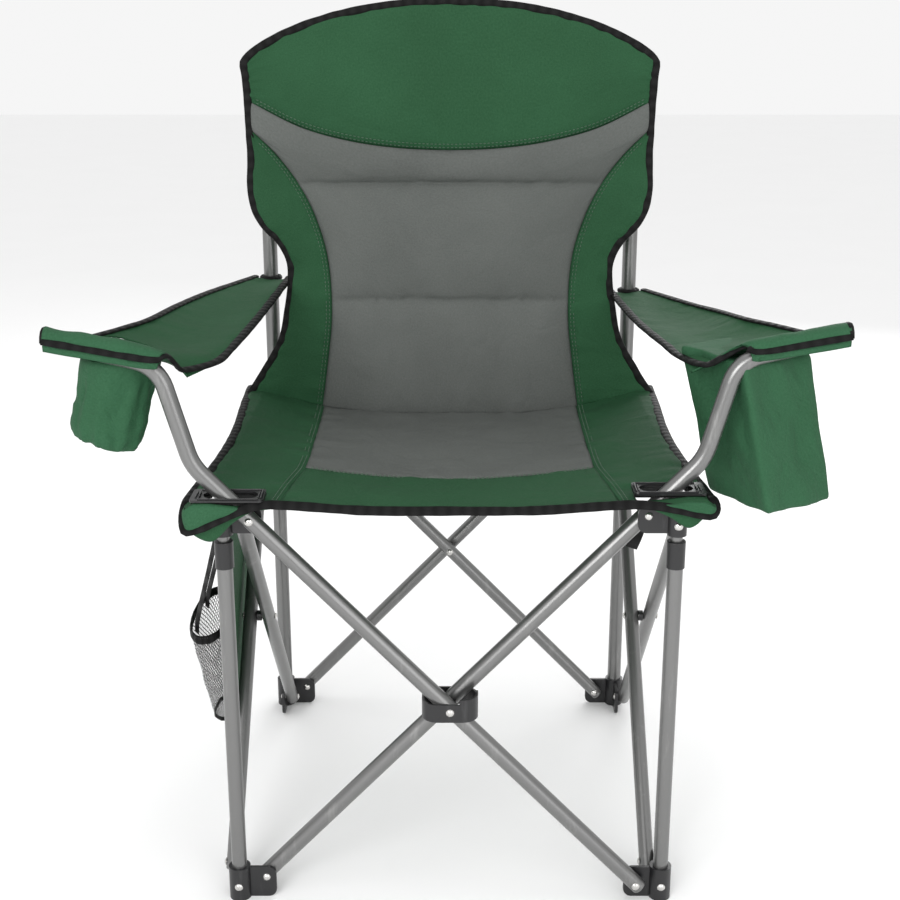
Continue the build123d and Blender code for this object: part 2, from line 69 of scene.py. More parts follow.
lamps = {
    "keyLamp": {"place": (-1.3, -3.0, 1.7), "size": 1.6, "power": 54},
    "fillLamp": {"place": (1.8, -2.8, 1.3), "size": 2.0, "power": 26},
    "topLamp": {"place": (0.1, 0.2, 3.2), "size": 2.4, "power": 10},
    "backLamp": {"place": (0.9, 2.6, 1.6), "size": 1.6, "power": 24},
}
for lampName, lamp in lamps.items():
    lampData = bpy.data.lights.new(lampName, "AREA")
    lampData.size = lamp["size"]
    lampData.energy = lamp["power"]
    lampObject = bpy.data.objects.new(lampName, lampData)
    lampObject.location = lamp["place"]
    lampObject.rotation_euler = (
        Vector((0, 0, 0.5)) - Vector(lamp["place"])
    ).to_track_quat("-Z", "Y").to_euler()
    bpy.context.scene.collection.objects.link(lampObject)

studio = bpy.data.worlds.new("studio")
studio.use_nodes = True
studio.node_tree.nodes["Background"].inputs["Color"].default_value = (1, 1, 1, 1)
studio.node_tree.nodes["Background"].inputs["Strength"].default_value = 0.92
bpy.context.scene.world = studio


# Node groups: each gives only masks and heights that change over the surface
def makeGroup(name, inputs, outputs):
    tree = bpy.data.node_groups.new(name, "ShaderNodeTree")
    for label, value in inputs.items():
        kind = "NodeSocketVector" if value is None else "NodeSocketFloat"
        socket = tree.interface.new_socket(label, in_out="INPUT", socket_type=kind)
        if value is not None:
            socket.default_value = value
    for label in outputs:
        tree.interface.new_socket(label, in_out="OUTPUT", socket_type="NodeSocketFloat")
    return tree, tree.nodes.new("NodeGroupInput"), tree.nodes.new("NodeGroupOutput")


def addNode(tree, kind, feeds=None, **settings):
    node = tree.nodes.new("ShaderNode" + kind)
    for key, value in settings.items():
        setattr(node, key, value)
    for socket, source in (feeds or {}).items():
        target = node.inputs[socket]
        if isinstance(source, bpy.types.NodeSocket):
            tree.links.new(source, target)
        else:
            target.default_value = source
    return node


def addMath(tree, operation, first, second=0.0):
    return addNode(tree, "Math", {0: first, 1: second}, operation=operation).outputs[0]


def makeWeave():  # plain weave: threads pass over and under each other by turns
    tree, given, result = makeGroup("plainWeave", {"Vector": None, "Threads": 800.0}, ["Height", "Shade"])
    spread = addNode(
        tree, "VectorMath", {0: given.outputs["Vector"], "Scale": given.outputs["Threads"]},
        operation="SCALE"
    )
    parts = addNode(tree, "SeparateXYZ", {0: spread.outputs[0]})
    warp = addMath(tree, "ABSOLUTE", addMath(tree, "SINE", addMath(tree, "MULTIPLY", parts.outputs[0], pi)))
    weft = addMath(tree, "ABSOLUTE", addMath(tree, "SINE", addMath(tree, "MULTIPLY", parts.outputs[1], pi)))
    checker = addNode(tree, "TexChecker", {"Vector": spread.outputs[0], "Scale": 1.0})
    threads = addNode(tree, "Mix", {"Factor": checker.outputs["Fac"], "A": warp, "B": weft})
    slub = addNode(tree, "TexNoise", {"Vector": given.outputs["Vector"], "Scale": 420.0, "Detail": 3.0})
    uneven = addMath(tree, "MULTIPLY", threads.outputs[0], addMath(tree, "ADD", slub.outputs["Fac"], 0.5))
    tree.links.new(uneven, result.inputs["Height"])
    # Shade output: paler on the thread crests and darker between the threads, which is painted shade
    # between the threads, mixed with the real unevenness of the yarn
    tree.links.new(
        addMath(
            tree, "ADD", addMath(tree, "MULTIPLY", uneven, 0.5),
            addMath(tree, "MULTIPLY", slub.outputs["Fac"], 0.5)
        ),
        result.inputs["Shade"]
    )
    return tree


def makeHandling():  # soft creases, and large soft patches of lighter and darker tone
    tree, given, result = makeGroup("handling", {"Vector": None, "Scale": 14.0}, ["Crease", "Fade"])
    crease = addNode(
        tree, "TexNoise",
        {
            "Vector": given.outputs["Vector"], "Scale": given.outputs["Scale"], "Detail": 4.0,
            "Roughness": 0.5, "Distortion": 0.6
        }
    )
    ridge = addMath(tree, "ABSOLUTE", addMath(tree, "SUBTRACT", crease.outputs["Fac"], 0.5))
    patchNoise = addNode(
        tree, "TexNoise",
        {"Vector": given.outputs["Vector"], "Scale": 5.0, "Detail": 5.0, "Roughness": 0.62}
    )
    tree.links.new(addMath(tree, "MULTIPLY", ridge, 4.0), result.inputs["Crease"])
    tree.links.new(patchNoise.outputs["Fac"], result.inputs["Fade"])
    return tree


def makeGrain():  # fine texture of moulded plastic or powder coat, with a few scuffs
    tree, given, result = makeGroup("grain", {"Vector": None, "Scale": 900.0}, ["Height", "Scuff"])
    fine = addNode(
        tree, "TexNoise",
        {"Vector": given.outputs["Vector"], "Scale": given.outputs["Scale"], "Detail": 3.0}
    )
    long = addNode(tree, "Mapping", {"Vector": given.outputs["Vector"], "Scale": (60.0, 60.0, 9.0)})
    scuff = addNode(
        tree, "TexNoise", {"Vector": long.outputs[0], "Scale": 1.0, "Detail": 6.0, "Roughness": 0.7}
    )
    sharp = addNode(tree, "MapRange", {"Value": scuff.outputs["Fac"], "From Min": 0.56, "From Max": 0.72})
    tree.links.new(fine.outputs["Fac"], result.inputs["Height"])
    tree.links.new(sharp.outputs[0], result.inputs["Scuff"])
    return tree


weaveGroup, handlingGroup, grainGroup = makeWeave(), makeHandling(), makeGrain()


def placeGroup(tree, group, **values):
    node = tree.nodes.new("ShaderNodeGroup")
    node.node_tree = group
    for socket, source in values.items():
        if isinstance(source, bpy.types.NodeSocket):
            tree.links.new(source, node.inputs[socket])
        else:
            node.inputs[socket].default_value = source
    return node


def mixColours(tree, factor, first, second):
    node = tree.nodes.new("ShaderNodeMix")
    node.data_type = "RGBA"
    tree.links.new(factor, node.inputs["Factor"])
    for socket, colour in (("A", first), ("B", second)):
        target = [s for s in node.inputs if s.name == socket and s.type == "RGBA"][0]
        if isinstance(colour, bpy.types.NodeSocket):
            tree.links.new(colour, target)
        else:
            target.default_value = (*colour, 1)
    return [s for s in node.outputs if s.type == "RGBA"][0]


def startMaterial(name, coordinates, **values):
    material = bpy.data.materials.new(name)
    material.use_nodes = True
    tree = material.node_tree
    shader = tree.nodes["Principled BSDF"]
    for label, value in values.items():
        shader.inputs[label.replace("_", " ")].default_value = value
    source = tree.nodes.new("ShaderNodeTexCoord").outputs[coordinates]
    return material, tree, shader, source


def makeCloth(name, deep, pale, threads=800.0, crease=0.0022, creaseScale=14.0, rough=0.80, sheen=0.0):
    material, tree, shader, source = startMaterial(name, "UV", Sheen_Weight=sheen, Specular_IOR_Level=0.28)
    weave = placeGroup(tree, weaveGroup, Vector=source, Threads=threads)
    handling = placeGroup(tree, handlingGroup, Vector=source, Scale=creaseScale)
    # Base colour from the weave's Shade output (painted shade between the threads, with real yarn
    # unevenness) and large soft patches of lighter and darker tone
    toneWithPaintedShade = addMath(
        tree, "ADD", addMath(tree, "MULTIPLY", weave.outputs["Shade"], 0.62),
        addMath(tree, "MULTIPLY", handling.outputs["Fade"], 0.55)
    )
    tree.links.new(
        mixColours(
            tree,
            addNode(tree, "MapRange", {"Value": toneWithPaintedShade, "From Min": 0.35, "From Max": 0.95}).outputs[0],
            deep, pale
        ),
        shader.inputs["Base Color"]
    )
    tree.links.new(
        addNode(
            tree, "MapRange",
            {"Value": weave.outputs["Shade"], "To Min": rough + 0.1, "To Max": rough - 0.12}
        ).outputs[0],
        shader.inputs["Roughness"]
    )
    folds = addNode(
        tree, "Bump", {"Height": handling.outputs["Crease"], "Distance": crease, "Strength": 0.55}
    )
    threadsBump = addNode(
        tree, "Bump",
        {
            "Height": weave.outputs["Height"], "Distance": 0.00035, "Strength": 0.5,
            "Normal": folds.outputs[0]
        }
    )
    tree.links.new(threadsBump.outputs[0], shader.inputs["Normal"])
    return material


def makeTape(name, deep, pale, ribs=420.0):  # ribbed binding and webbing, its ribs across the tape
    material, tree, shader, source = startMaterial(name, "UV", Specular_IOR_Level=0.18)
    wave = addNode(
        tree, "TexWave", {"Vector": source, "Scale": ribs / 20, "Distortion": 0.4, "Detail": 1.0},
        wave_type="BANDS", bands_direction="X"
    )
    weave = placeGroup(tree, weaveGroup, Vector=source, Threads=1300.0)
    # Rib crests paler and grooves darker, multiplied by the weave's Shade output: painted shade in the
    # grooves between ribs and threads
    ribHeight = addMath(tree, "ADD", addMath(tree, "MULTIPLY", wave.outputs["Fac"], 0.35), 0.35)
    toneWithPaintedShade = addMath(tree, "MULTIPLY", ribHeight, weave.outputs["Shade"])
    tree.links.new(mixColours(tree, toneWithPaintedShade, deep, pale), shader.inputs["Base Color"])
    tree.links.new(
        addNode(
            tree, "MapRange", {"Value": wave.outputs["Fac"], "To Min": 0.75, "To Max": 0.5}
        ).outputs[0],
        shader.inputs["Roughness"]
    )
    bump = addNode(
        tree, "Bump",
        {
            "Height": addMath(tree, "ADD", wave.outputs["Fac"], weave.outputs["Height"]),
            "Distance": 0.0003, "Strength": 0.5
        }
    )
    tree.links.new(bump.outputs[0], shader.inputs["Normal"])
    return material


def makeHard(name, base, scuffed, roughLow, roughHigh, grain, depth, **values):
    material, tree, shader, source = startMaterial(name, "Object", **values)
    surface = placeGroup(tree, grainGroup, Vector=source, Scale=grain)
    tree.links.new(mixColours(tree, surface.outputs["Scuff"], base, scuffed), shader.inputs["Base Color"])
    blend = addMath(
        tree, "ADD", addMath(tree, "MULTIPLY", surface.outputs["Height"], 0.6),
        addMath(tree, "MULTIPLY", surface.outputs["Scuff"], 0.4)
    )
    tree.links.new(
        addNode(tree, "MapRange", {"Value": blend, "To Min": roughLow, "To Max": roughHigh}).outputs[0],
        shader.inputs["Roughness"]
    )
    bump = addNode(tree, "Bump", {"Height": surface.outputs["Height"], "Distance": depth, "Strength": 0.5})
    tree.links.new(bump.outputs[0], shader.inputs["Normal"])
    return material


def makeNetting():  # open knitted net: see-through diamonds between dark cords
    material, tree, shader, source = startMaterial("blackNetting", "UV", Roughness=0.6)
    turned = addNode(
        tree, "Mapping", {"Vector": source, "Rotation": (0, 0, radians(45)), "Scale": (200.0, 200.0, 1.0)}
    )
    parts = addNode(tree, "SeparateXYZ", {0: turned.outputs[0]})
    cords = []
    for axis in (0, 1):
        cords.append(
            addMath(
                tree, "ABSOLUTE",
                addMath(tree, "SINE", addMath(tree, "MULTIPLY", parts.outputs[axis], pi))
            )
        )
    hole = addMath(tree, "MINIMUM", cords[0], cords[1])
    cover = addMath(tree, "LESS_THAN", hole, 0.25)
    tree.links.new(cover, shader.inputs["Alpha"])
    # Cords are lighter in their middle and darker towards the holes: painted shade on the sides of the
    # round cords
    tree.links.new(
        mixColours(tree, hole, (0.020, 0.020, 0.020), (0.008, 0.008, 0.008)), shader.inputs["Base Color"]
    )
    bump = addNode(
        tree, "Bump", {"Height": addMath(tree, "SUBTRACT", 1.0, hole), "Distance": 0.001, "Strength": 0.6}
    )
    tree.links.new(bump.outputs[0], shader.inputs["Normal"])
    return material


def makeThread():
    material, tree, shader, source = startMaterial("sewingThread", "Object", Sheen_Weight=0.2)
    twist = addNode(tree, "TexNoise", {"Vector": source, "Scale": 1500.0})
    tree.links.new(
        mixColours(tree, twist.outputs["Fac"], (0.02, 0.05, 0.028), (0.07, 0.13, 0.08)),
        shader.inputs["Base Color"]
    )
    tree.links.new(
        addNode(
            tree, "MapRange", {"Value": twist.outputs["Fac"], "To Min": 0.4, "To Max": 0.7}
        ).outputs[0],
        shader.inputs["Roughness"]
    )
    return material


finishes = {
    "greenCloth": makeCloth("greenCloth", (0.008, 0.050, 0.017), (0.021, 0.092, 0.038)),
    # A lighter copy of the same green cloth, its extra lightness painted light; used on the arm sleeves,
    # corner flaps, cup holder and cooler bag
    "paintedLitGreenCloth": makeCloth(
        "paintedLitGreenCloth", (0.013, 0.066, 0.026), (0.032, 0.118, 0.056), crease=0.004, creaseScale=18.0
    ),
    "greyCloth": makeCloth("greyCloth", (0.072, 0.078, 0.073), (0.128, 0.137, 0.129)),
    "blackTape": makeTape("blackTape", (0.002, 0.002, 0.002), (0.009, 0.009, 0.009)),
    "liner": makeCloth("liner", (0.004, 0.004, 0.004), (0.012, 0.012, 0.012)),
    "webbing": makeTape("webbing", (0.006, 0.006, 0.006), (0.035, 0.035, 0.036), 300.0),
    "netting": makeNetting(), "thread": makeThread(),
    "tubePaint": makeHard(
        "tubePaint", (0.195, 0.195, 0.193), (0.255, 0.255, 0.25), 0.26, 0.44, 700.0, 0.00012,
        Metallic=0.78, Coat_Weight=0.1
    ),
    "blackPlastic": makeHard(
        "blackPlastic", (0.012, 0.012, 0.013), (0.035, 0.035, 0.036), 0.28, 0.52, 900.0, 0.00016
    ),
    "rivetSteel": makeHard(
        "rivetSteel", (0.62, 0.61, 0.59), (0.42, 0.41, 0.40), 0.18, 0.40, 500.0, 0.00005, Metallic=1.0
    ),
}
slotFinish = {
    "tube_paint": "tubePaint", "black_plastic": "blackPlastic", "rivet_steel": "rivetSteel",
    "webbing": "webbing", "seat_cloth": "greenCloth", "back_cloth": "greenCloth",
    "green_cloth": "greenCloth", "mesh_cloth": "netting",
}
for subpart in frame["record"]["subparts"]:
    node = frame["nodes"][subpart["node"]]
    node.data.materials.clear()
    node.data.materials.append(finishes[slotFinish[subpart["material_slot"]]])
for name in ("left_armrest_ring", "right_armrest_ring"):
    frame["nodes"][name].data.materials[0] = finishes["blackPlastic"]

floor = {"size": 14, "shade": (0.93, 0.93, 0.93)}
floorMesh = bmesh.new()
bmesh.ops.create_grid(floorMesh, x_segments=1, y_segments=1, size=floor["size"])
floorData = bpy.data.meshes.new("floor")
floorMesh.to_mesh(floorData)
floorMesh.free()
floorObject = bpy.data.objects.new("floor", floorData)
bpy.context.scene.collection.objects.link(floorObject)
floorMaterial, floorTree, floorShader, floorSource = startMaterial("paleFloor", "Object", Roughness=0.9)
paper = addNode(floorTree, "TexNoise", {"Vector": floorSource, "Scale": 3.0})
floorTree.links.new(
    mixColours(floorTree, paper.outputs["Fac"], floor["shade"], (0.95, 0.95, 0.95)),
    floorShader.inputs["Base Color"]
)
floorData.materials.append(floorMaterial)
print("materials ready")


# Sewing: seams are smooth lines, a patch is a sheet between four seams
families = {}


def drawSeam(points, count=180):
    knots = [Vector(p) for p in points]
    dense = []
    for k in range(len(knots) - 1):
        a, b = knots[k], knots[k + 1]
        before = knots[k - 1] if k else a * 2 - b
        after = knots[k + 2] if k + 2 < len(knots) else b * 2 - a
        run = max((b - a).length, 1e-9)
        leave = (b - before) * (run / (run + (a - before).length))
        arrive = (after - a) * (run / (run + (after - b).length))
        for step in range(24):
            f = step / 24
            dense.append(
                a * (
                    2 * f**3 - 3 * f**2 + 1
                ) + leave * (f**3 - 2 * f**2 + f) + b * (3 * f**2 - 2 * f**3) + arrive * (f**3 - f**2)
            )
    dense.append(knots[-1])
    reach = [0.0]
    for a, b in zip(dense, dense[1:]):
        reach.append(reach[-1] + (b - a).length)
    even, k = [], 0
    for step in range(count + 1):
        target = reach[-1] * step / count
        while k < len(dense) - 2 and reach[k + 1] < target:
            k += 1
        even.append(dense[k].lerp(dense[k + 1], (target - reach[k]) / max(reach[k + 1] - reach[k], 1e-9)))
    return even


def along(seam, t):
    place = min(max(t, 0.0), 1.0) * (len(seam) - 1)
    k = min(int(place), len(seam) - 2)
    return seam[k].lerp(seam[k + 1], place - k)


def seamLength(seam):
    return sum((b - a).length for a, b in zip(seam, seam[1:]))


def mirrorX(points):
    return [(-p[0], *p[1:]) for p in points]


def between(edges, u, v):
    low, high, left, right = edges
    corners = (1 - v) * ((1 - u) * low[0] + u * low[-1]) + v * ((1 - u) * high[0] + u * high[-1])
    across = (1 - v) * along(low, u) + v * along(high, u)
    return across + (1 - u) * along(left, v) + u * along(right, v) - corners


def smoothStep(value, low, high):
    f = min(max((value - low) / (high - low), 0.0), 1.0)
    return f * f * (3 - 2 * f)


def pillow(u, v, sharp=0.35):
    return max(16 * u * (1 - u) * v * (1 - v), 0.0) ** sharp


def pucker(u, v, wide, tall, seed, pitch=60.0, reach=0.018):  # gathers that run in from each seam
    total = 0.0
    for gap, run, side in (
        (v * tall, u * wide, 1), ((1 - v) * tall, u * wide, 2), (u * wide, v * tall, 3),
        ((1 - u) * wide, v * tall, 4)
    ):
        total += noise.noise(
            Vector((run * pitch, seed * 7.1 + side * 3.3, gap * 12))
        ) * exp(-gap / reach) * (1 - exp(-gap / 0.004))
    return total


def addPiece(name, mesh, finish, family, smooth=True):
    data = bpy.data.meshes.new(name)
    mesh.to_mesh(data)
    mesh.free()
    piece = bpy.data.objects.new(name, data)
    bpy.context.scene.collection.objects.link(piece)
    data.materials.append(finishes[finish])
    if smooth:
        data.shade_smooth()
    families.setdefault(family, []).append(piece)
    return piece


def sewPatch(name, family, finish, place, size, cells, facing, rise, thick=0.0016, isHole=None, seed=0.0):
    mesh = bmesh.new()
    bmesh.ops.create_grid(mesh, x_segments=cells[0], y_segments=cells[1], size=0.5)
    bmesh.ops.translate(mesh, verts=mesh.verts, vec=(0.5, 0.5, 0))
    if isHole:
        cut = [f for f in mesh.faces if isHole(place(*f.calc_center_median().xy))]
        bmesh.ops.delete(mesh, geom=cut, context="FACES")
    lifted = bmesh.ops.extrude_face_region(mesh, geom=mesh.faces[:], use_keep_orig=True)
    bmesh.ops.translate(
        mesh, verts=[e for e in lifted["geom"] if isinstance(e, bmesh.types.BMVert)], vec=(0, 0, 1)
    )
    bmesh.ops.recalc_face_normals(mesh, faces=mesh.faces)
    layer = mesh.loops.layers.uv.new("clothMap")
    for face in mesh.faces:
        for loop in face.loops:
            loop[layer].uv = (loop.vert.co.x * size[0] + seed, loop.vert.co.y * size[1] + seed * 0.7)
    step = 0.004
    outward = Vector(facing)
    for vert in mesh.verts:
        u, v, upper = vert.co
        here = place(u, v)
        du = (place(u + step, v) - here) if u < 0.5 else (here - place(u - step, v))
        dv = (place(u, v + step) - here) if v < 0.5 else (here - place(u, v - step))
        normal = du.cross(dv).normalized()
        if normal.dot(outward) < 0:
            normal.negate()
        vert.co = here + normal * (rise(u, v, here) if upper > 0.5 else rise(u, v, here) * 0.55 - thick)
    bmesh.ops.recalc_face_normals(mesh, faces=mesh.faces)
    piece = addPiece(name, mesh, finish, family)
    return piece


def bindEdge(name, family, points, facing, width=0.0105, thick=0.0042, finish="blackTape", around=10):
    seam = points
    count = max(int(seamLength(seam) / 0.006), 4)
    mesh = bmesh.new()
    bmesh.ops.create_grid(mesh, x_segments=count, y_segments=around, size=0.5)
    bmesh.ops.translate(mesh, verts=mesh.verts, vec=(0.5, 0.5, 0))
    length = seamLength(seam)
    layer = mesh.loops.layers.uv.new("clothMap")
    for face in mesh.faces:
        for loop in face.loops:
            loop[layer].uv = (loop.vert.co.x * length, loop.vert.co.y * 2 * width)
    for vert in mesh.verts:
        t, turn = vert.co.x, vert.co.y * 2 * pi
        here = along(seam, t)
        way = (along(seam, min(t + 0.01, 1)) - along(seam, max(t - 0.01, 0))).normalized()
        normal = Vector(facing(here) if callable(facing) else facing)
        normal = (normal - way * normal.dot(way)).normalized()
        side = way.cross(normal)
        wobble = 1 + 0.10 * noise.noise(here * 55)
        vert.co = here + side * (cos(turn) * width / 2 * wobble) + normal * (sin(turn) * thick / 2 * wobble)
    bmesh.ops.remove_doubles(mesh, verts=mesh.verts, dist=0.00002)
    bmesh.ops.holes_fill(mesh, edges=[e for e in mesh.edges if e.is_boundary])
    bmesh.ops.recalc_face_normals(mesh, faces=mesh.faces)
    return addPiece(name, mesh, finish, family)


def sewStitches(name, family, seam, facing, gap=0.0055, stitch=0.0038, radius=0.0006, finish="thread"):
    mesh = bmesh.new()
    length = seamLength(seam)
    count = int(length / gap)
    for k in range(count):
        t = (k + 0.5) / count
        here = along(seam, t)
        way = (along(seam, t + 0.004) - along(seam, t - 0.004)).normalized()
        normal = Vector(facing(here) if callable(facing) else facing)
        normal = (normal - way * normal.dot(way)).normalized()
        turn = Matrix((way, normal.cross(way), normal)).transposed().to_4x4()
        size = Matrix.Diagonal((stitch / 2, radius, radius, 1))
        bmesh.ops.create_icosphere(
            mesh, subdivisions=1, radius=1.0, matrix=Matrix.Translation(here) @ turn @ size
        )
    return addPiece(name, mesh, finish, family)


def spinCloth(name, family, finish, profile, shape, around=0.28, tall=0.11, steps=64, thick=0.0014):
    mesh = bmesh.new()
    verts = [mesh.verts.new((r, 0, z)) for r, z in profile]
    edges = [mesh.edges.new(pair) for pair in zip(verts, verts[1:])]
    bmesh.ops.spin(
        mesh, geom=verts + edges, cent=(0, 0, 0), axis=(0, 0, 1), angle=2 * pi, steps=steps,
        use_merge=True
    )
    bmesh.ops.remove_doubles(mesh, verts=mesh.verts, dist=0.0002)
    bmesh.ops.recalc_face_normals(mesh, faces=mesh.faces)
    layer = mesh.loops.layers.uv.new("clothMap")
    for face in mesh.faces:
        middle = face.calc_center_median()
        for loop in face.loops:
            turn = Vector((loop.vert.co.x, loop.vert.co.y, 0)).angle(Vector((1, 0, 0)), 0.0)
            turn = turn if middle.y >= 0 else 2 * pi - turn
            loop[layer].uv = (
                turn / (2 * pi) * around, loop.vert.co.z * tall + loop.vert.co.xy.length * 0.1
            )
    for vert in mesh.verts:
        vert.co = shape(vert.co.copy())
    piece = addPiece(name, mesh, finish, family)
    solid = piece.modifiers.new("wall", "SOLIDIFY")
    solid.thickness = thick
    solid.offset = 0
    return piece


# Back: green yoke, grey padded middle in four rolls, green sides
backShape = {
    "side": [
        (0.285, 0, 0.507), (0.2660, 0, 0.533), (0.2578, 0, 0.547), (0.2446, 0, 0.568), (0.233, 0, 0.592),
        (0.225, 0, 0.631), (0.2199, 0, 0.668), (0.2212, 0, 0.697), (0.2337, 0, 0.7226),
        (0.2564, 0, 0.747), (0.2667, 0, 0.767), (0.2714, 0, 0.794), (0.2702, 0, 0.834), (0.2712, 0, 0.872)
    ],
    "yokeSide": [(0.2712, 0, 0.872), (0.2725, 0, 0.912), (0.2745, 0, 0.945), (0.2756, 0, 0.962)],
    "arch": [
        (0.2756, 0, 0.962), (0.2511, 0, 0.982), (0.1999, 0, 1.0062), (0.1332, 0, 1.0253),
        (0.0669, 0, 1.0354), (0, 0, 1.0385)
    ],
    "yokeSeam": [
        (0.2725, 0, 0.911), (0.2021, 0, 0.876), (0.135, 0, 0.8575), (0.068, 0, 0.8482), (0, 0, 0.8456)
    ],
    "crescent": [
        (0.180, 0, 0.493), (0.1715, 0, 0.555), (0.1645, 0, 0.625), (0.1690, 0, 0.700), (0.1855, 0, 0.758),
        (0.2090, 0, 0.804), (0.2370, 0, 0.841), (0.2600, 0, 0.864), (0.2685, 0, 0.872)
    ],
    "wing": [(0.180, 0, 0.493), (0.216, 0, 0.500), (0.250, 0, 0.504), (0.285, 0, 0.507)],
    "seatSeam": [(0.180, 0, 0.493), (0.090, 0, 0.483), (0, 0, 0.4800)], "channels": (0.802, 0.642),
    "rollHeight": 0.014,
}


def onBack(p):
    lean = 0.1955 + 0.0739 * (p.z - 0.496)
    hang = 0.011 * (1 - (p.x / 0.285) ** 2) * sin(pi * min(max((p.z - 0.47) / 0.56, 0), 1))
    return Vector((p.x, lean + hang, p.z))


def backRise(u, v, p, depth, seed, wide, tall):
    return depth * pillow(u, v) + 0.0035 * pucker(u, v, wide, tall, seed)


def rollRise(u, v, p):
    high, low = backShape["channels"]
    top = 0.8456 + 0.0655 * (abs(p.x) / 0.2725) ** 1.7
    bounds = [(low, high), (high, top), (0.480, low)]
    rise = 0.0
    for bottom, upper in bounds:
        if bottom < p.z <= upper:
            f = (p.z - bottom) / (upper - bottom)
            rise = max(4 * f * (1 - f), 0.0) ** 0.42
            gap = min(p.z - bottom, upper - p.z)
            rise += 0.22 * noise.noise(Vector((p.x * 42, bottom * 9, gap * 10))) * exp(-gap / 0.022)
    side = max(1 - abs(2 * u - 1) ** 6, 0.0) ** 0.5
    return backShape["rollHeight"] * rise * side + 0.0014 * noise.noise(p * 17)


def backPlaceFor(low, high, left, right):
    edges = (low, high, left, right)
    return lambda u, v: onBack(between(edges, u, v))


yokeLow = drawSeam(mirrorX(backShape["yokeSeam"]) + backShape["yokeSeam"][-2::-1])
yokeHigh = drawSeam(mirrorX(backShape["arch"]) + backShape["arch"][-2::-1])
yokeSide = [(0.2725, 0, 0.911), (0.2745, 0, 0.940), (0.2756, 0, 0.962)]
sewPatch(
    "backYoke", "back", "greenCloth",
    backPlaceFor(yokeLow, yokeHigh, drawSeam(mirrorX(yokeSide)), drawSeam(yokeSide)), (0.55, 0.15),
    (110, 44), (0, -1, 0), lambda u, v,
    p: backRise(
        u, v, p, 0.004, 1.0, 0.55, 0.15
    ) + 0.0022 * noise.noise(Vector((p.x * 7, 3, p.z * 16))) * pillow(u, v),
    seed=0.3
)
middleSide = backShape["crescent"] + [(0.2712, 0, 0.8800), (0.2722, 0, 0.897), (0.2725, 0, 0.911)]
middleLow = drawSeam(mirrorX(backShape["seatSeam"]) + backShape["seatSeam"][-2::-1])
sewPatch(
    "backMiddle", "back", "greyCloth",
    backPlaceFor(middleLow, yokeLow, drawSeam(mirrorX(middleSide)), drawSeam(middleSide)), (0.42, 0.38),
    (110, 120), (0, -1, 0), rollRise, thick=0.003, seed=1.1
)
for hand, side in ((-1, "Left"), (1, "Right")):
    turned = mirrorX if hand < 0 else list
    inner, outer = drawSeam(turned(backShape["crescent"])), drawSeam(turned(backShape["side"]))
    low = drawSeam(turned(backShape["wing"]))
    high = drawSeam(turned([backShape["crescent"][-1], backShape["side"][-1]]))
    sewPatch(
        f"backSide{side}", "back", "greenCloth", backPlaceFor(low, high, inner, outer), (0.085, 0.42),
        (26, 110), (0, -1, 0), lambda u, v, p,
        hand=hand: backRise(u, v, p, 0.0045, 2.0 + hand, 0.085, 0.42), seed=2.0 + hand * 0.4
    )
    bindEdge(
        f"crescentAllowance{side}", "back", [onBack(p) + Vector((0, 0.0012, 0)) for p in inner[::4]],
        (0, -1, 0), 0.012, 0.0022, "greenCloth"
    )
    seam = [onBack(p) - Vector((0, 0.0035, 0)) for p in inner]
    for shift in (0.0032, 0.0075):
        run = [p + Vector((hand * shift, -0.0006, 0)) for p in seam[3:-10]]
        sewStitches(f"crescentStitch{side}{int(shift * 10000)}", "back", run, (0, -1, 0))
for shift in (0.0035, 0.0080):
    run = [onBack(p) + Vector((0, -0.0042, shift)) for p in yokeLow[4:-4]]
    sewStitches(f"yokeStitch{int(shift * 10000)}", "back", run, (0, -1, 0))
bindEdge(
    "yokeAllowance", "back", [onBack(p) + Vector((0, 0.0012, 0)) for p in yokeLow[::4]], (0, -1, 0),
    0.012, 0.0022, "greenCloth"
)
edge = mirrorX(backShape["side"]) + mirrorX(backShape["yokeSide"])[1:] + mirrorX(backShape["arch"])[1:]
edge += backShape["arch"][-2::-1] + backShape["yokeSide"][-2::-1] + backShape["side"][-2::-1]
backEdge = [onBack(p) for p in drawSeam(edge, 420)]
bindEdge("backBinding", "back", backEdge, (0, -1, 0), 0.011, 0.0055)

pocket = {
    "profile": [
        (0.0125, 0.893), (0.0138, 0.915), (0.0136, 0.945), (0.0115, 0.961), (0.006, 0.9665),
        (0.0001, 0.9675)
    ]
}
for hand, side in ((-1, "Left"), (1, "Right")):
    low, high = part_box(f"rear_{side.lower()}_upright")
    centre = Vector(((low[0] + high[0]) / 2, (low[1] + high[1]) / 2, 0))
    spinCloth(
        f"polePocket{side}", f"pocket{side}", "greenCloth", pocket["profile"], lambda p,
        centre=centre: centre + Vector(
            (p.x * 1.15, p.y, p.z)
        ) + Vector((0, 0.0008, 0)) * noise.noise(p * 90),
        0.087, 1.0
    )
print("back sewn")


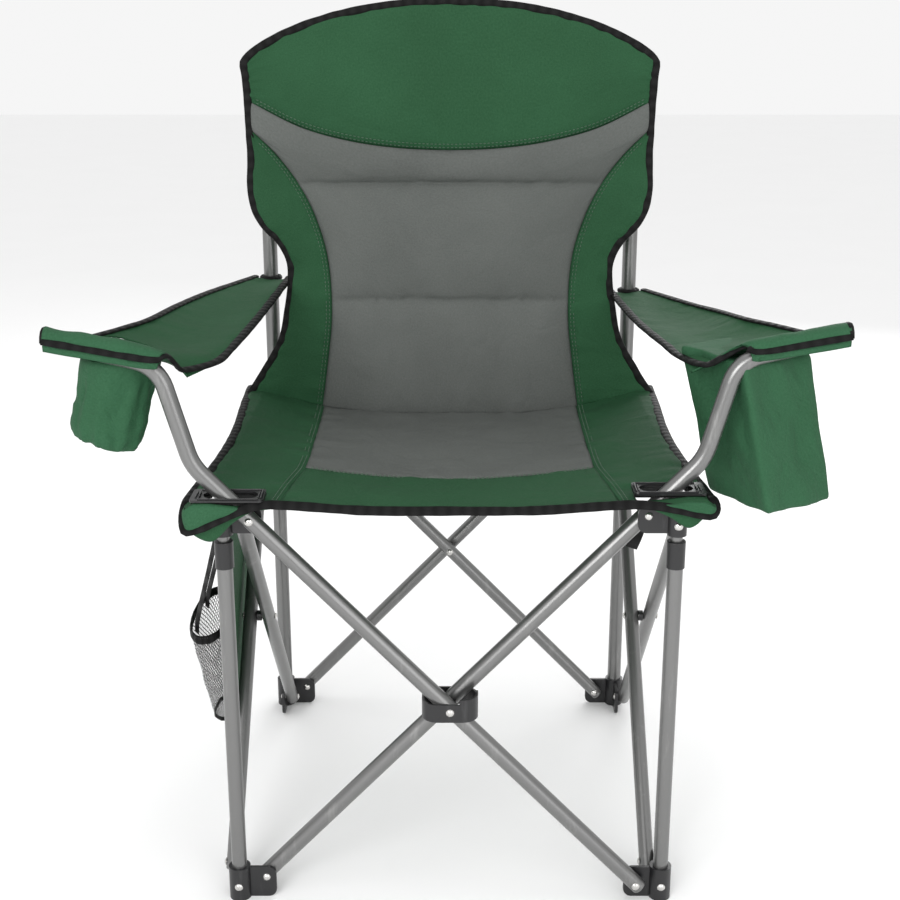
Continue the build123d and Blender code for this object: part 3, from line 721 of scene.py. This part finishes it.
# Seat: grey middle, green front band and sides, slots for the arm tubes
seatShape = {
    "front": [(0.190, -0.2735, 0), (0.095, -0.2695, 0), (0, -0.2680, 0)],
    "frontSide": [(0.190, -0.2735, 0), (0.182, -0.190, 0), (0.1735, -0.112, 0)],
    "bandSeam": [(0.1735, -0.112, 0), (0.085, -0.129, 0), (0, -0.141, 0)],
    "middleSide": [(0.1735, -0.112, 0), (0.1740, 0.030, 0), (0.1775, 0.1975, 0)],
    "rearSeam": [(0.1775, 0.1975, 0), (0.09, 0.1985, 0), (0, 0.1990, 0)],
    "sideInner": [
        (0.190, -0.2735, 0), (0.182, -0.190, 0), (0.1735, -0.112, 0), (0.1740, 0.030, 0),
        (0.1775, 0.1975, 0)
    ],
    "sideOuter": [
        (0.2895, -0.240, 0), (0.2845, -0.205, 0), (0.2770, -0.152, 0), (0.2730, -0.058, 0),
        (0.2738, 0.020, 0), (0.2800, 0.130, 0), (0.2860, 0.2450, 0)
    ],
    "sideFront": {
        "Left": [(0.190, -0.2735, 0), (0.212, -0.2825, 0), (0.250, -0.2850, 0), (0.2885, -0.2845, 0)],
        "Right": [(0.190, -0.2735, 0), (0.240, -0.2770, 0), (0.2885, -0.2775, 0)]
    },
    "sideRear": [(0.1775, 0.1975, 0), (0.205, 0.2080, 0), (0.236, 0.2400, 0), (0.2860, 0.2450, 0)],
    "flapHem": {
        "Left": [
            (0.196, -0.2745, 0.5100), (0.2180, -0.2850, 0.5100), (0.2526, -0.2890, 0.4965),
            (0.2750, -0.2890, 0.4865), (0.2870, -0.2860, 0.4830), (0.2915, -0.2740, 0.4930),
            (0.2905, -0.2600, 0.5060)
        ],
        "Right": [
            (0.196, -0.2745, 0.5100), (0.2250, -0.2785, 0.5100), (0.2500, -0.2800, 0.5060),
            (0.2700, -0.2805, 0.5015), (0.2850, -0.2790, 0.4990), (0.2910, -0.2690, 0.5040),
            (0.2905, -0.2560, 0.5095)
        ]
    },
    "pocketTip": {
        "Left": [
            (0.2150, -0.2800, 0.5050), (0.2380, -0.2800, 0.4900), (0.2600, -0.2795, 0.4690),
            (0.2760, -0.2790, 0.4730), (0.2865, -0.2780, 0.4850)
        ],
        "Right": [
            (0.2150, -0.2750, 0.5070), (0.2400, -0.2750, 0.4960), (0.2610, -0.2745, 0.4830),
            (0.2720, -0.2745, 0.4880), (0.2800, -0.2740, 0.4990)
        ]
    },
    "linerZ": 0.5122,
}


def onSeat(p):
    x, y = abs(p.x), p.y
    depth = 0.0135 + 0.009 * smoothStep(y, -0.27, -0.05) + 0.0095 * smoothStep(y, -0.05, 0.19)
    sag = depth * max(1 - (x / 0.262) ** 2.5, 0)
    planeY = -0.24875 - 0.012 * (1 if p.x < 0 else -1)
    overPlate = smoothStep(x, 0.185, 0.206) * (1 - smoothStep(abs(y - planeY), 0.024, 0.045))
    edge = 0.006 * smoothStep(x, 0.278, 0.290)
    return Vector((p.x, p.y, 0.5140 - sag - edge - 0.0004 * overPlate))


def seatNormal(p):
    return (0, 0, 1)


def inWindow(p):  # the opening in the cloth, a little smaller than the corner plate
    y0 = -0.24875 + (-0.012 if p.x < 0 else 0.012)
    return abs(abs(p.x) - 0.244) < 0.0375 and abs(p.y - y0) < 0.0185


def seatRise(u, v, p, depth, seed, wide, tall):
    y0 = -0.24875 + (-0.012 if p.x < 0 else 0.012)
    free = 1 - smoothStep(abs(p.x), 0.180, 0.203) * (1 - smoothStep(abs(p.y - y0), 0.022, 0.040))
    return free * (
        depth * pillow(u, v) + 0.0042 * pucker(
            u, v, wide, tall, seed, 48.0, 0.022
        ) + 0.0016 * noise.noise(Vector((p.x * 14, p.y * 20, seed)))
    )


def seatPlaceFor(low, high, left, right):
    edges = (low, high, left, right)
    return lambda u, v: onSeat(between(edges, u, v))


def fullWidth(points):
    return drawSeam(mirrorX(points) + points[-2::-1])


bandLow, bandHigh, rearSeam = fullWidth(seatShape["front"]), fullWidth(
    seatShape["bandSeam"]
), fullWidth(seatShape["rearSeam"])
sewPatch(
    "seatFrontBand", "seat", "greenCloth",
    seatPlaceFor(
        bandLow, bandHigh, drawSeam(mirrorX(seatShape["frontSide"])), drawSeam(seatShape["frontSide"])
    ),
    (0.37, 0.15), (96, 38), (0, 0, 1), lambda u, v, p: seatRise(u, v, p, 0.004, 4.0, 0.37, 0.15), seed=3.1
)
sewPatch(
    "seatMiddle", "seat", "greyCloth",
    seatPlaceFor(
        bandHigh, rearSeam, drawSeam(mirrorX(seatShape["middleSide"])), drawSeam(seatShape["middleSide"])
    ),
    (0.35, 0.32), (90, 84), (0, 0, 1), lambda u, v, p: seatRise(u, v, p, 0.006, 5.0, 0.35, 0.32), seed=4.2
)
for hand, side in ((-1, "Left"), (1, "Right")):
    turned = mirrorX if hand < 0 else list
    sideFront = seatShape["sideFront"][side]
    inner, outer = drawSeam(turned(seatShape["sideInner"])), drawSeam(
        turned([sideFront[-1]] + seatShape["sideOuter"])
    )
    sewPatch(
        f"seatSide{side}", "seat", "greenCloth",
        seatPlaceFor(drawSeam(turned(sideFront)), drawSeam(turned(seatShape["sideRear"])), inner, outer),
        (0.10, 0.49), (48, 150), (0, 0, 1), lambda u, v, p,
        hand=hand: seatRise(u, v, p, 0.003, 6.0 + hand, 0.10, 0.49), isHole=inWindow,
        seed=5.0 + 0.5 * hand
    )
    for shift in (0.0035, 0.0080):
        run = [onSeat(p + Vector((hand * shift, 0, 0))) + Vector((0, 0, 0.0026)) for p in inner[4:-3]]
        sewStitches(f"seatSideStitch{side}{int(shift * 10000)}", "seat", run, seatNormal)
for shift in (-0.0035, -0.0080):
    run = [onSeat(p + Vector((0, shift, 0))) + Vector((0, 0, 0.0026)) for p in bandHigh[3:-3]]
    sewStitches(f"seatBandStitch{int(-shift * 10000)}", "seat", run, seatNormal)
seams = {"seatRear": rearSeam, "seatBand": bandHigh}
seams["seatRearLeft"], seams["seatRearRight"] = drawSeam(
    mirrorX(seatShape["sideRear"])
), drawSeam(seatShape["sideRear"])
for name, seam in seams.items():
    bindEdge(
        f"{name}Allowance", "seat", [onSeat(p) - Vector((0, 0, 0.0012)) for p in seam[::4]], (0, 0, 1),
        0.014, 0.0022, "greyCloth" if name == "seatRear" else "greenCloth"
    )
for hand, side in ((-1, "Left"), (1, "Right")):  # what hangs down at the front corners
    turned = mirrorX if hand < 0 else list
    sideFront = seatShape["sideFront"][side]
    frontSeam, outer = drawSeam(turned(sideFront)), drawSeam(
        turned([sideFront[-1]] + seatShape["sideOuter"])
    )
    hem = drawSeam(turned(seatShape["flapHem"][side]))
    top = drawSeam([onSeat(p) for p in frontSeam[10::10] + outer[3:9:2]])
    flapEdges = (hem, top, drawSeam([hem[0], top[0]]), drawSeam([hem[-1], top[-1]]))
    sewPatch(
        f"cornerFlap{side}", "seat", "paintedLitGreenCloth", lambda u, v, edges=flapEdges: between(edges, u, v),
        (0.12, 0.03), (44, 12), (0, -1, 0.2), lambda u, v, p,
        hand=hand: 0.0025 * pillow(u, v) + 0.0012 * noise.noise(p * 60 + Vector((hand, 0, 0))),
        thick=0.0012, seed=11 + hand
    )
    tip = drawSeam(turned(seatShape["pocketTip"][side]))
    under = drawSeam([(p.x, p.y + 0.0045, p.z + 0.002) for p in hem[28:140]])
    tipEdges = (tip, under, drawSeam([tip[0], under[0]]), drawSeam([tip[-1], under[-1]]))
    sewPatch(
        f"cornerPocket{side}", "seat", "greenCloth", lambda u, v, edges=tipEdges: between(edges, u, v),
        (0.09, 0.02), (36, 10), (0, -1, 0), lambda u, v, p,
        hand=hand: 0.0020 * pillow(u, v) + 0.0010 * noise.noise(p * 70 + Vector((hand, 0, 0))),
        thick=0.0012, seed=13 + hand
    )
    planeY = -0.24875 + 0.012 * hand

    def onLiner(u, v, hand=hand, planeY=planeY):
        return Vector((hand * (0.204 + 0.078 * u), planeY - 0.019 + 0.038 * v, seatShape["linerZ"]))

    sewPatch(
        f"slotLiner{side}", "seat", "liner", onLiner, (0.08, 0.04), (52, 26), (0, 0, 1), lambda u, v,
        p: 0.0004, thick=0.0006, isHole=lambda p,
        planeY=planeY: ((abs(p.x) - 0.2475) / 0.0165) ** 2 + ((p.y - planeY) / 0.0113) ** 2 < 1,
        seed=15 + hand
    )
frontRun = [
    onSeat(Vector(p)) for p in mirrorX(seatShape["sideOuter"])[::-1]
] + mirrorX(seatShape["flapHem"]["Left"])[::-1]
frontRun += [onSeat(Vector(p)) for p in mirrorX(seatShape["front"])[1:] + seatShape["front"][-2:0:-1]]
frontRun += seatShape["flapHem"]["Right"] + [onSeat(Vector(p)) for p in seatShape["sideOuter"]]
bindEdge("seatBinding", "seat", drawSeam(frontRun, 420), (0, -0.6, 0.8), 0.0125, 0.0054)
print("seat sewn")


# Armrests: a sleeve round the arm tube, and a strip of cloth back to the upright
armShape = {
    "sleeve": (0.297, 0.4305), "tubeZ": (0.667, 0.691),
    "section": [
        (0, -0.0125, -0.0100), (0, -0.0132, -0.002), (0, -0.0100, 0.0080), (0, -0.001, 0.0125),
        (0, 0.010, 0.0108), (0, 0.020, 0.0050), (0, 0.030, -0.0030), (0, 0.040, -0.0090)
    ],
    "corner": {"Left": (0.287, -0.2310, 0.643), "Right": (0.268, -0.2270, 0.641)},
    "nose": {
        "Left": [(0.314, -0.0135, 0.6660), (0.307, -0.003, 0.6765), (0.2965, 0.013, 0.6620)],
        "Right": [(0.338, -0.0130, 0.6720), (0.330, 0.000, 0.6830), (0.306, 0.016, 0.6660)]
    },
    "rearDrop": {"Left": 0.0, "Right": 0.019},
    "inner": [
        (0.264, -0.187, 0.648), (0.250, -0.085, 0.653), (0.239, 0.045, 0.659), (0.226, 0.2475, 0.668)
    ],
    "outer": [
        (0.416, -0.2230, 0.680), (0.396, -0.200, 0.681), (0.373, -0.150, 0.680), (0.355, -0.095, 0.678),
        (0.340, 0.005, 0.675), (0.320, 0.105, 0.672), (0.274, 0.2475, 0.669)
    ],
    "front": [
        (0.302, -0.2235, 0.655), (0.345, -0.2205, 0.6655), (0.385, -0.2205, 0.6735),
        (0.416, -0.2230, 0.680)
    ],
    "sag": 0.013, "hole": (0.356, -0.2060, 0.032),
}


def tubeHeight(x):
    f = (abs(x) - armShape["sleeve"][0]) / 0.135
    return armShape["tubeZ"][0] + (armShape["tubeZ"][1] - armShape["tubeZ"][0]) * f


for hand, side in ((-1, "Left"), (1, "Right")):
    turned = mirrorX if hand < 0 else list
    planeY = -0.24875 - 0.012 if hand < 0 else -0.24875 + 0.012
    late = 0.0 if hand < 0 else 0.024
    family = f"arm{side}"
    section = drawSeam(armShape["section"])
    drop = armShape["rearDrop"][side]

    def shiftRows(points, late=late, turned=turned, drop=drop):
        return turned(
            [
                (
                    p[0], p[1] + late * (1 - smoothStep(p[1], -0.2, 0.2)),
                    p[2] - drop * smoothStep(p[1], -0.22, 0.22)
                ) for p in points
            ]
        )

    noseLine = drawSeam(
        turned(
            [(p[0], planeY + p[1], p[2]) for p in armShape["nose"][side]]
        ) + shiftRows([armShape["corner"][side]])
    )

    def onSleeve(
        u, v, hand=hand, planeY=planeY, section=section, noseLine=noseLine,
        noseReach=0.28 if hand < 0 else 0.42
    ):
        x = armShape["sleeve"][0] + (armShape["sleeve"][1] - armShape["sleeve"][0]) * u
        bend = along(section, v)
        share = max(1 - u / noseReach, 0) ** 2
        return Vector(
            (hand * x, planeY + bend.y, tubeHeight(x) + bend.z)
        ) * (1 - share) + along(noseLine, v) * share

    inner, outer = drawSeam(
        shiftRows([armShape["corner"][side]] + armShape["inner"])
    ), drawSeam(shiftRows(armShape["outer"]))
    low, high = drawSeam(
        shiftRows([armShape["corner"][side]] + armShape["front"])
    ), drawSeam([inner[-1], outer[-1]])
    edges = (low, high, inner, outer)

    def onCloth(u, v, edges=edges):
        span = max(4 * u * (1 - u), 0)
        sag = armShape["sag"] * span * (1 - 0.7 * smoothStep(v, 0.5, 1.0)) * smoothStep(v, -0.02, 0.22)
        return between(edges, u, v) - Vector((0, 0, sag))

    holeX, holeY, holeR = armShape["hole"]
    isHole = (lambda p: (p.x + holeX) ** 2 + (p.y - holeY) ** 2 < holeR**2) if hand < 0 else None
    sewPatch(
        f"armSleeve{side}", family, "paintedLitGreenCloth", onSleeve, (0.14, 0.07), (40, 26), (0, 0, 1),
        lambda u, v, p, hand=hand: 0.0008 + 0.0022 * noise.noise(Vector((p.x * 38, p.y * 30, hand))),
        thick=0.0012, seed=7 + hand
    )
    sewPatch(
        f"armCloth{side}", family, "greenCloth", onCloth, (0.11, 0.48), (44, 150), (0, 0, 1), lambda u, v,
        p, hand=hand: 0.0015 * pillow(u, v) + 0.0032 * pucker(u, v, 0.11, 0.48, 8 + hand, 40.0, 0.02),
        isHole=isHole, seed=8 + hand * 0.3
    )
    up = (0, 0, 1)
    hemRun = [
        onSleeve(1 - k / 12, 0.15) + Vector((0, -0.0010, 0)) for k in range(12)
    ] + noseLine[24::40] + inner[20::20]
    bindEdge(f"armInnerBinding{side}", family, drawSeam(hemRun, 240), (0, -0.35, 0.9), 0.0120, 0.0052)
    bindEdge(
        f"armOuterBinding{side}", family, [onCloth(1, k / 120) for k in range(121)], up, 0.0110, 0.0045
    )
    bindEdge(
        f"armEndBinding{side}", family, [onSleeve(1.0, 0.12 + 0.006 * k) for k in range(61)],
        (hand, 0, 0), 0.003, 0.006
    )
    ring = [
        Vector(
            (hand * 0.2535 + 0.0128 * cos(a * pi / 24), 0.2583 + 0.0128 * sin(a * pi / 24), 0.6660 - drop)
        ) for a in range(49)
    ]
    bindEdge(f"armCollar{side}", family, ring, up, 0.0065, 0.0070)
    for shift in (0.90, 0.95):
        sewStitches(
            f"sleeveStitch{side}{int(shift * 100)}", family,
            [onSleeve(0.03 + 0.94 * k / 60, shift) + Vector((0, 0, 0.0018)) for k in range(61)], up
        )
    if hand < 0:
        rim = [
            Vector(
                (
                    -holeX + holeR * cos(a * pi / 30), holeY + holeR * sin(a * pi / 30),
                    0.6655 - 0.004 * cos(a * pi / 30)
                )
            ) for a in range(61)
        ]
        bindEdge("cupMouthBinding", family, rim, up, 0.008, 0.0045)
print("armrests sewn")


# Cup holder under the left armrest, crumpled, narrower at its floor
cupShape = {
    "top": (-0.3615, -0.2108), "lean": (-0.0235, -0.002), "high": 0.664, "low": 0.5555, "tilt": 0.28,
    "profile": [
        (0.0435, 0.0), (0.0440, 0.06), (0.0442, 0.12), (0.0440, 0.18), (0.0436, 0.25), (0.0430, 0.33),
        (0.0424, 0.41), (0.0417, 0.49), (0.0410, 0.57), (0.0402, 0.65), (0.0394, 0.73), (0.0385, 0.81),
        (0.0375, 0.88), (0.0360, 0.94), (0.0335, 0.985), (0.0290, 1.0), (0.020, 1.0), (0.010, 1.0),
        (0.0001, 1.0)
    ],
}


def cupPlace(p):
    share, ring = p.z, Vector((p.x, p.y, 0))
    turn = ring.normalized() if ring.length > 1e-6 else Vector((0, 0, 0))
    folds = 0.0045 * noise.noise(Vector((turn.x * 2.6, turn.y * 2.6, share * 1.4 + 3)))
    dents = 0.0085 * (
        noise.turbulence(Vector((turn.x * 1.9 + 5, turn.y * 1.9, share * 2.6)), 2, True) - 0.45
    )
    flat = ring + turn * (
        (folds - abs(dents) * 0.8) * smoothStep(share, 0.0, 0.35) if ring.length > 0.012 else 0
    )
    z = cupShape["high"] + (cupShape["low"] - cupShape["high"]) * share
    z += (
        cupShape["tilt"] * (0.036 - ring.x) + 0.004 * noise.noise(Vector((ring.x * 40, ring.y * 40, 2)))
    ) * smoothStep(share, 0.3, 1.0)
    return Vector(
        (
            cupShape["top"][0] + cupShape["lean"][0] * share + flat.x,
            cupShape["top"][1] + cupShape["lean"][1] * share + flat.y, z
        )
    )


spinCloth("cupHolder", "armLeft", "paintedLitGreenCloth", cupShape["profile"], cupPlace, 0.27, 0.11, 96)
print("cup holder sewn")


# Cooler bag under the right armrest: a soft four-sided bag, creased
coolerShape = {
    "corners": [(0.3550, -0.2475), (0.4440, -0.1890), (0.3840, -0.0878), (0.3000, -0.1500)],
    "low": 0.4860, "high": 0.6600, "lean": 0.038
}


def coolerPlace(p):
    x, y, z = p
    reach = max(abs(x), abs(y))
    corners = [Vector(c) for c in coolerShape["corners"]]
    u, v = x + 0.5, y + 0.5
    near = corners[0] * (1 - u) * (1 - v) + corners[1] * u * (1 - v)
    flat = near + corners[2] * u * v + corners[3] * (1 - u) * v
    centre = sum(corners, Vector((0, 0))) / 4
    height = coolerShape["low"] + (coolerShape["high"] - coolerShape["low"]) * (z + 0.5)
    waist = 1 - 0.05 * (1 - abs(2 * z)) * (4 * abs(x) * abs(y))
    flat = centre + (flat - centre) * waist * (1 - 0.05 * smoothStep(-z, 0.2, 0.5))
    away = (flat - centre).normalized() if (flat - centre).length > 1e-6 else Vector((0, 0))
    crush = 0.006 * noise.noise(Vector((x * 2.6, y * 2.6, z * 2.4 + 4))) - 0.007 * abs(
        noise.noise(Vector((x * 2.2 + 2, y * 2.2, z * 2.0)))
    ) + 0.0012 * noise.noise(Vector((x * 11, y * 11, z * 11)))
    flat += away * crush * smoothStep(reach, 0.35, 0.5) * (
        1 - 0.75 * smoothStep(4 * abs(x * y), 0.55, 0.95)
    )
    flat.x -= coolerShape["lean"] * (z + 0.5)
    lift = 0.0015 * noise.noise(Vector((x * 4, y * 4, 9))) * smoothStep(-z, 0.3, 0.5)
    return Vector((flat.x, flat.y, height + lift))


mesh = bmesh.new()
bmesh.ops.create_cube(mesh, size=1.0)
bmesh.ops.bevel(
    mesh, geom=mesh.edges[:], offset=0.045, offset_type="OFFSET", affect="EDGES", segments=3, profile=0.5,
    material=-1
)
bmesh.ops.subdivide_edges(
    mesh, edges=[e for e in mesh.edges if e.calc_length() > 0.4], cuts=26, use_grid_fill=True
)
bmesh.ops.recalc_face_normals(mesh, faces=mesh.faces)
layer = mesh.loops.layers.uv.new("clothMap")
for face in mesh.faces:
    wide = abs(face.normal.x) > abs(face.normal.y)
    for loop in face.loops:
        c = loop.vert.co
        loop[layer].uv = (
            (c.y if wide else c.x) * 0.12 + 0.4, (c.z if abs(face.normal.z) < 0.7 else c.y) * 0.16 + 0.7
        )
for vert in mesh.verts:
    vert.co = coolerPlace(vert.co.copy())
addPiece("coolerBag", mesh, "paintedLitGreenCloth", "armRight")
print("cooler bag sewn")


# Side organiser with its net pouch and straps
pocketShape = {
    "panelX": -0.2800,
    "low": [
        (0, -0.1145, 0.240), (0, -0.106, 0.188), (0, -0.080, 0.156), (0, -0.020, 0.150),
        (0, 0.080, 0.152), (0, 0.151, 0.216)
    ],
    "high": [(0, -0.1145, 0.4975), (0, 0.151, 0.4975)],
    "pouch": {
        "y": -0.0518, "rim": (0.047, 0.163, 0.2870), "floor": (0.026, 0.058, 0.1405), "innerX": -0.2820,
        "back": 0.012
    },
}


def onPanel(p):
    return Vector((pocketShape["panelX"] - 0.0008 * noise.noise(Vector((0, p.y * 9, p.z * 9))), p.y, p.z))


panelLow, panelHigh = drawSeam(pocketShape["low"]), drawSeam(pocketShape["high"])
panelEdges = (
    panelLow, panelHigh, drawSeam([panelLow[0], panelHigh[0]]), drawSeam([panelLow[-1], panelHigh[-1]])
)
sewPatch(
    "organiserPanel", "organiser", "greenCloth", lambda u, v: onPanel(between(panelEdges, u, v)),
    (0.265, 0.34), (54, 66), (-1, 0, 0), lambda u, v, p: 0.0010 * pucker(u, v, 0.265, 0.34, 12.0),
    thick=0.0014, seed=9.5
)
bindEdge(
    "organiserBinding", "organiser",
    [
        onPanel(p) for p in drawSeam(
            [panelHigh[0], (0, -0.1145, 0.38)] + pocketShape["low"] + [(0, 0.151, 0.36), panelHigh[-1]],
            240
        )
    ],
    (-1, 0, 0), 0.009, 0.0042
)

pouch = pocketShape["pouch"]


def pouchPlace(p):
    share = p.z
    depth = pouch["floor"][0] + (pouch["rim"][0] - pouch["floor"][0]) * share ** 0.8
    width = pouch["floor"][1] + (pouch["rim"][1] - pouch["floor"][1]) * share ** 0.8
    z = pouch["floor"][2] + (pouch["rim"][2] - pouch["floor"][2]) * share
    flat = Vector((p.x, p.y))
    r = flat.length
    if r > 1e-6:
        flat = flat / r
        flat = flat / (abs(flat.x) ** 2.3 + abs(flat.y) ** 2.3) ** (1 / 2.3) * r
    ripple = 0.0015 * noise.noise(Vector((p.x * 6, p.y * 6, share * 5)))
    return Vector(
        (
            pouch["innerX"] - depth / 2 + flat.x * (depth / 2 + ripple),
            pouch["y"] + pouch["back"] * (1 - share) + flat.y * (width / 2 + ripple), z
        )
    )


pouchProfile = [
    (0.0002, 0.0), (0.3, 0.0), (0.6, 0.0), (0.85, 0.002), (0.96, 0.02)
] + [(1.0, 0.06 + 0.94 * k / 14) for k in range(15)]
spinCloth("netPouch", "organiser", "netting", pouchProfile, pouchPlace, 0.38, 0.145, 72, 0.0008)
rimLine = [pouchPlace(Vector((cos(a * pi / 45), sin(a * pi / 45), 0.975))) for a in range(91)]
bindEdge("pouchRim", "organiser", rimLine, (0, 0, 1), 0.0035, 0.012)
baseLine = [pouchPlace(Vector((cos(a * pi / 45), sin(a * pi / 45), 0.03))) for a in range(91)]
bindEdge("pouchBase", "organiser", baseLine, (0, 0, 1), 0.003, 0.006)
for k, y in enumerate((pouch["y"] - 0.052, pouch["y"] + 0.052)):
    strap = drawSeam(
        [
            (-0.2825, y, 0.442), (-0.2840, y, 0.425), (-0.2945, y, 0.380),
            (-0.3180, y + 0.012 - 0.024 * k, 0.292), (-0.3195, y + 0.012 - 0.024 * k, 0.276)
        ]
    )
    bindEdge(f"pouchStrap{k + 1}", "organiser", strap, (-0.8, -0.6, 0.3), 0.012, 0.0017, "webbing")
print("organiser sewn")


# Short webbing strap under the right front hub
tie = drawSeam(
    [
        (0.2230, -0.1962, 0.486), (0.2215, -0.1955, 0.468), (0.2170, -0.1958, 0.448),
        (0.2105, -0.1966, 0.430)
    ]
)
bindEdge("tieStrap", "tie", tie, (0, -1, 0), 0.0145, 0.0018, "webbing")


# Ridges on the corner plates at both ends of each slot
for hand, side in ((-1, "Left"), (1, "Right")):
    planeY = -0.24875 - 0.012 if hand < 0 else -0.24875 + 0.012
    mesh = bmesh.new()
    for k, (x, length) in enumerate(((0.2782, 0.020), (0.2745, 0.016), (0.2095, 0.020), (0.2065, 0.026))):
        rise = 0.5172 + 0.0006 * (k % 2)
        bmesh.ops.create_cube(
            mesh, size=1.0,
            matrix=Matrix.Translation((hand * x, planeY, rise)) @ Matrix.Diagonal(
                (0.0016, length, 0.0018, 1)
            )
        )
    for y in (-0.0165, 0.0165):
        bmesh.ops.create_cube(
            mesh, size=1.0,
            matrix=Matrix.Translation(
                (hand * 0.242, planeY + y, 0.5173)
            ) @ Matrix.Diagonal((0.066, 0.0016, 0.0018, 1))
        )
    bmesh.ops.bevel(
        mesh, geom=mesh.edges[:], offset=0.0005, offset_type="OFFSET", affect="EDGES", segments=2,
        profile=0.5, material=-1
    )
    addPiece(f"plateRidges{side}", mesh, "blackPlastic", f"plate{side}", smooth=False)
print("plates ridged")


# Which body each family rides on, and how its cloth gathers as the frame folds
riding = {
    "back": {"body": "rear_left_leg", "axis": (1, 0, 0), "anchor": (-0.2535, 0.2, 0.7), "keep": 0.2426},
    "pocketLeft": {"body": "rear_left_leg"}, "pocketRight": {"body": "rear_right_leg"},
    "seat": {"body": "seat", "axis": (1, 0, 0), "anchor": (-0.224, 0, 0.51), "keep": 0.143},
    "armLeft": {
        "body": "left_arm_link", "axis": (0.0277, -0.893, -0.4493), "anchor": (-0.38, -0.261, 0.68),
        "keep": 0.04
    },
    "armRight": {
        "body": "right_arm_link", "axis": (-0.0277, -0.893, -0.4493), "anchor": (0.38, -0.237, 0.68),
        "keep": 0.04
    },
    "organiser": {
        "body": "rear_left_top", "axis": (0, 1, 0), "anchor": (-0.2815, 0.258, 0.4), "keep": 0.24
    },
    "tie": {"body": "front_right_top"}, "plateLeft": {"body": "front_left_top"},
    "plateRight": {"body": "front_right_top"},
}
standsFor = {
    "backMiddle": ("back_panel", "back_cloth"), "seatMiddle": ("seat_panel", "seat_cloth"),
    "armClothLeft": ("left_armrest", "green_cloth"), "armClothRight": ("right_armrest", "green_cloth"),
    "cupHolder": ("cup_holder", "green_cloth"), "coolerBag": ("cooler_bag", "green_cloth"),
    "organiserPanel": ("organiser_panel", "green_cloth"), "netPouch": ("mesh_pouch", "mesh_cloth"),
    "pouchStrap1": ("organiser_straps", "webbing"), "tieStrap": ("tie_strap", "webbing"),
}
for family, plan in riding.items():
    for piece in families[family]:
        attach(piece, plan["body"])
        if piece.name in standsFor:
            node, slotName = standsFor[piece.name]
            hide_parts(node)
        if "axis" in plan:
            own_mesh(piece)
print("pieces attached")
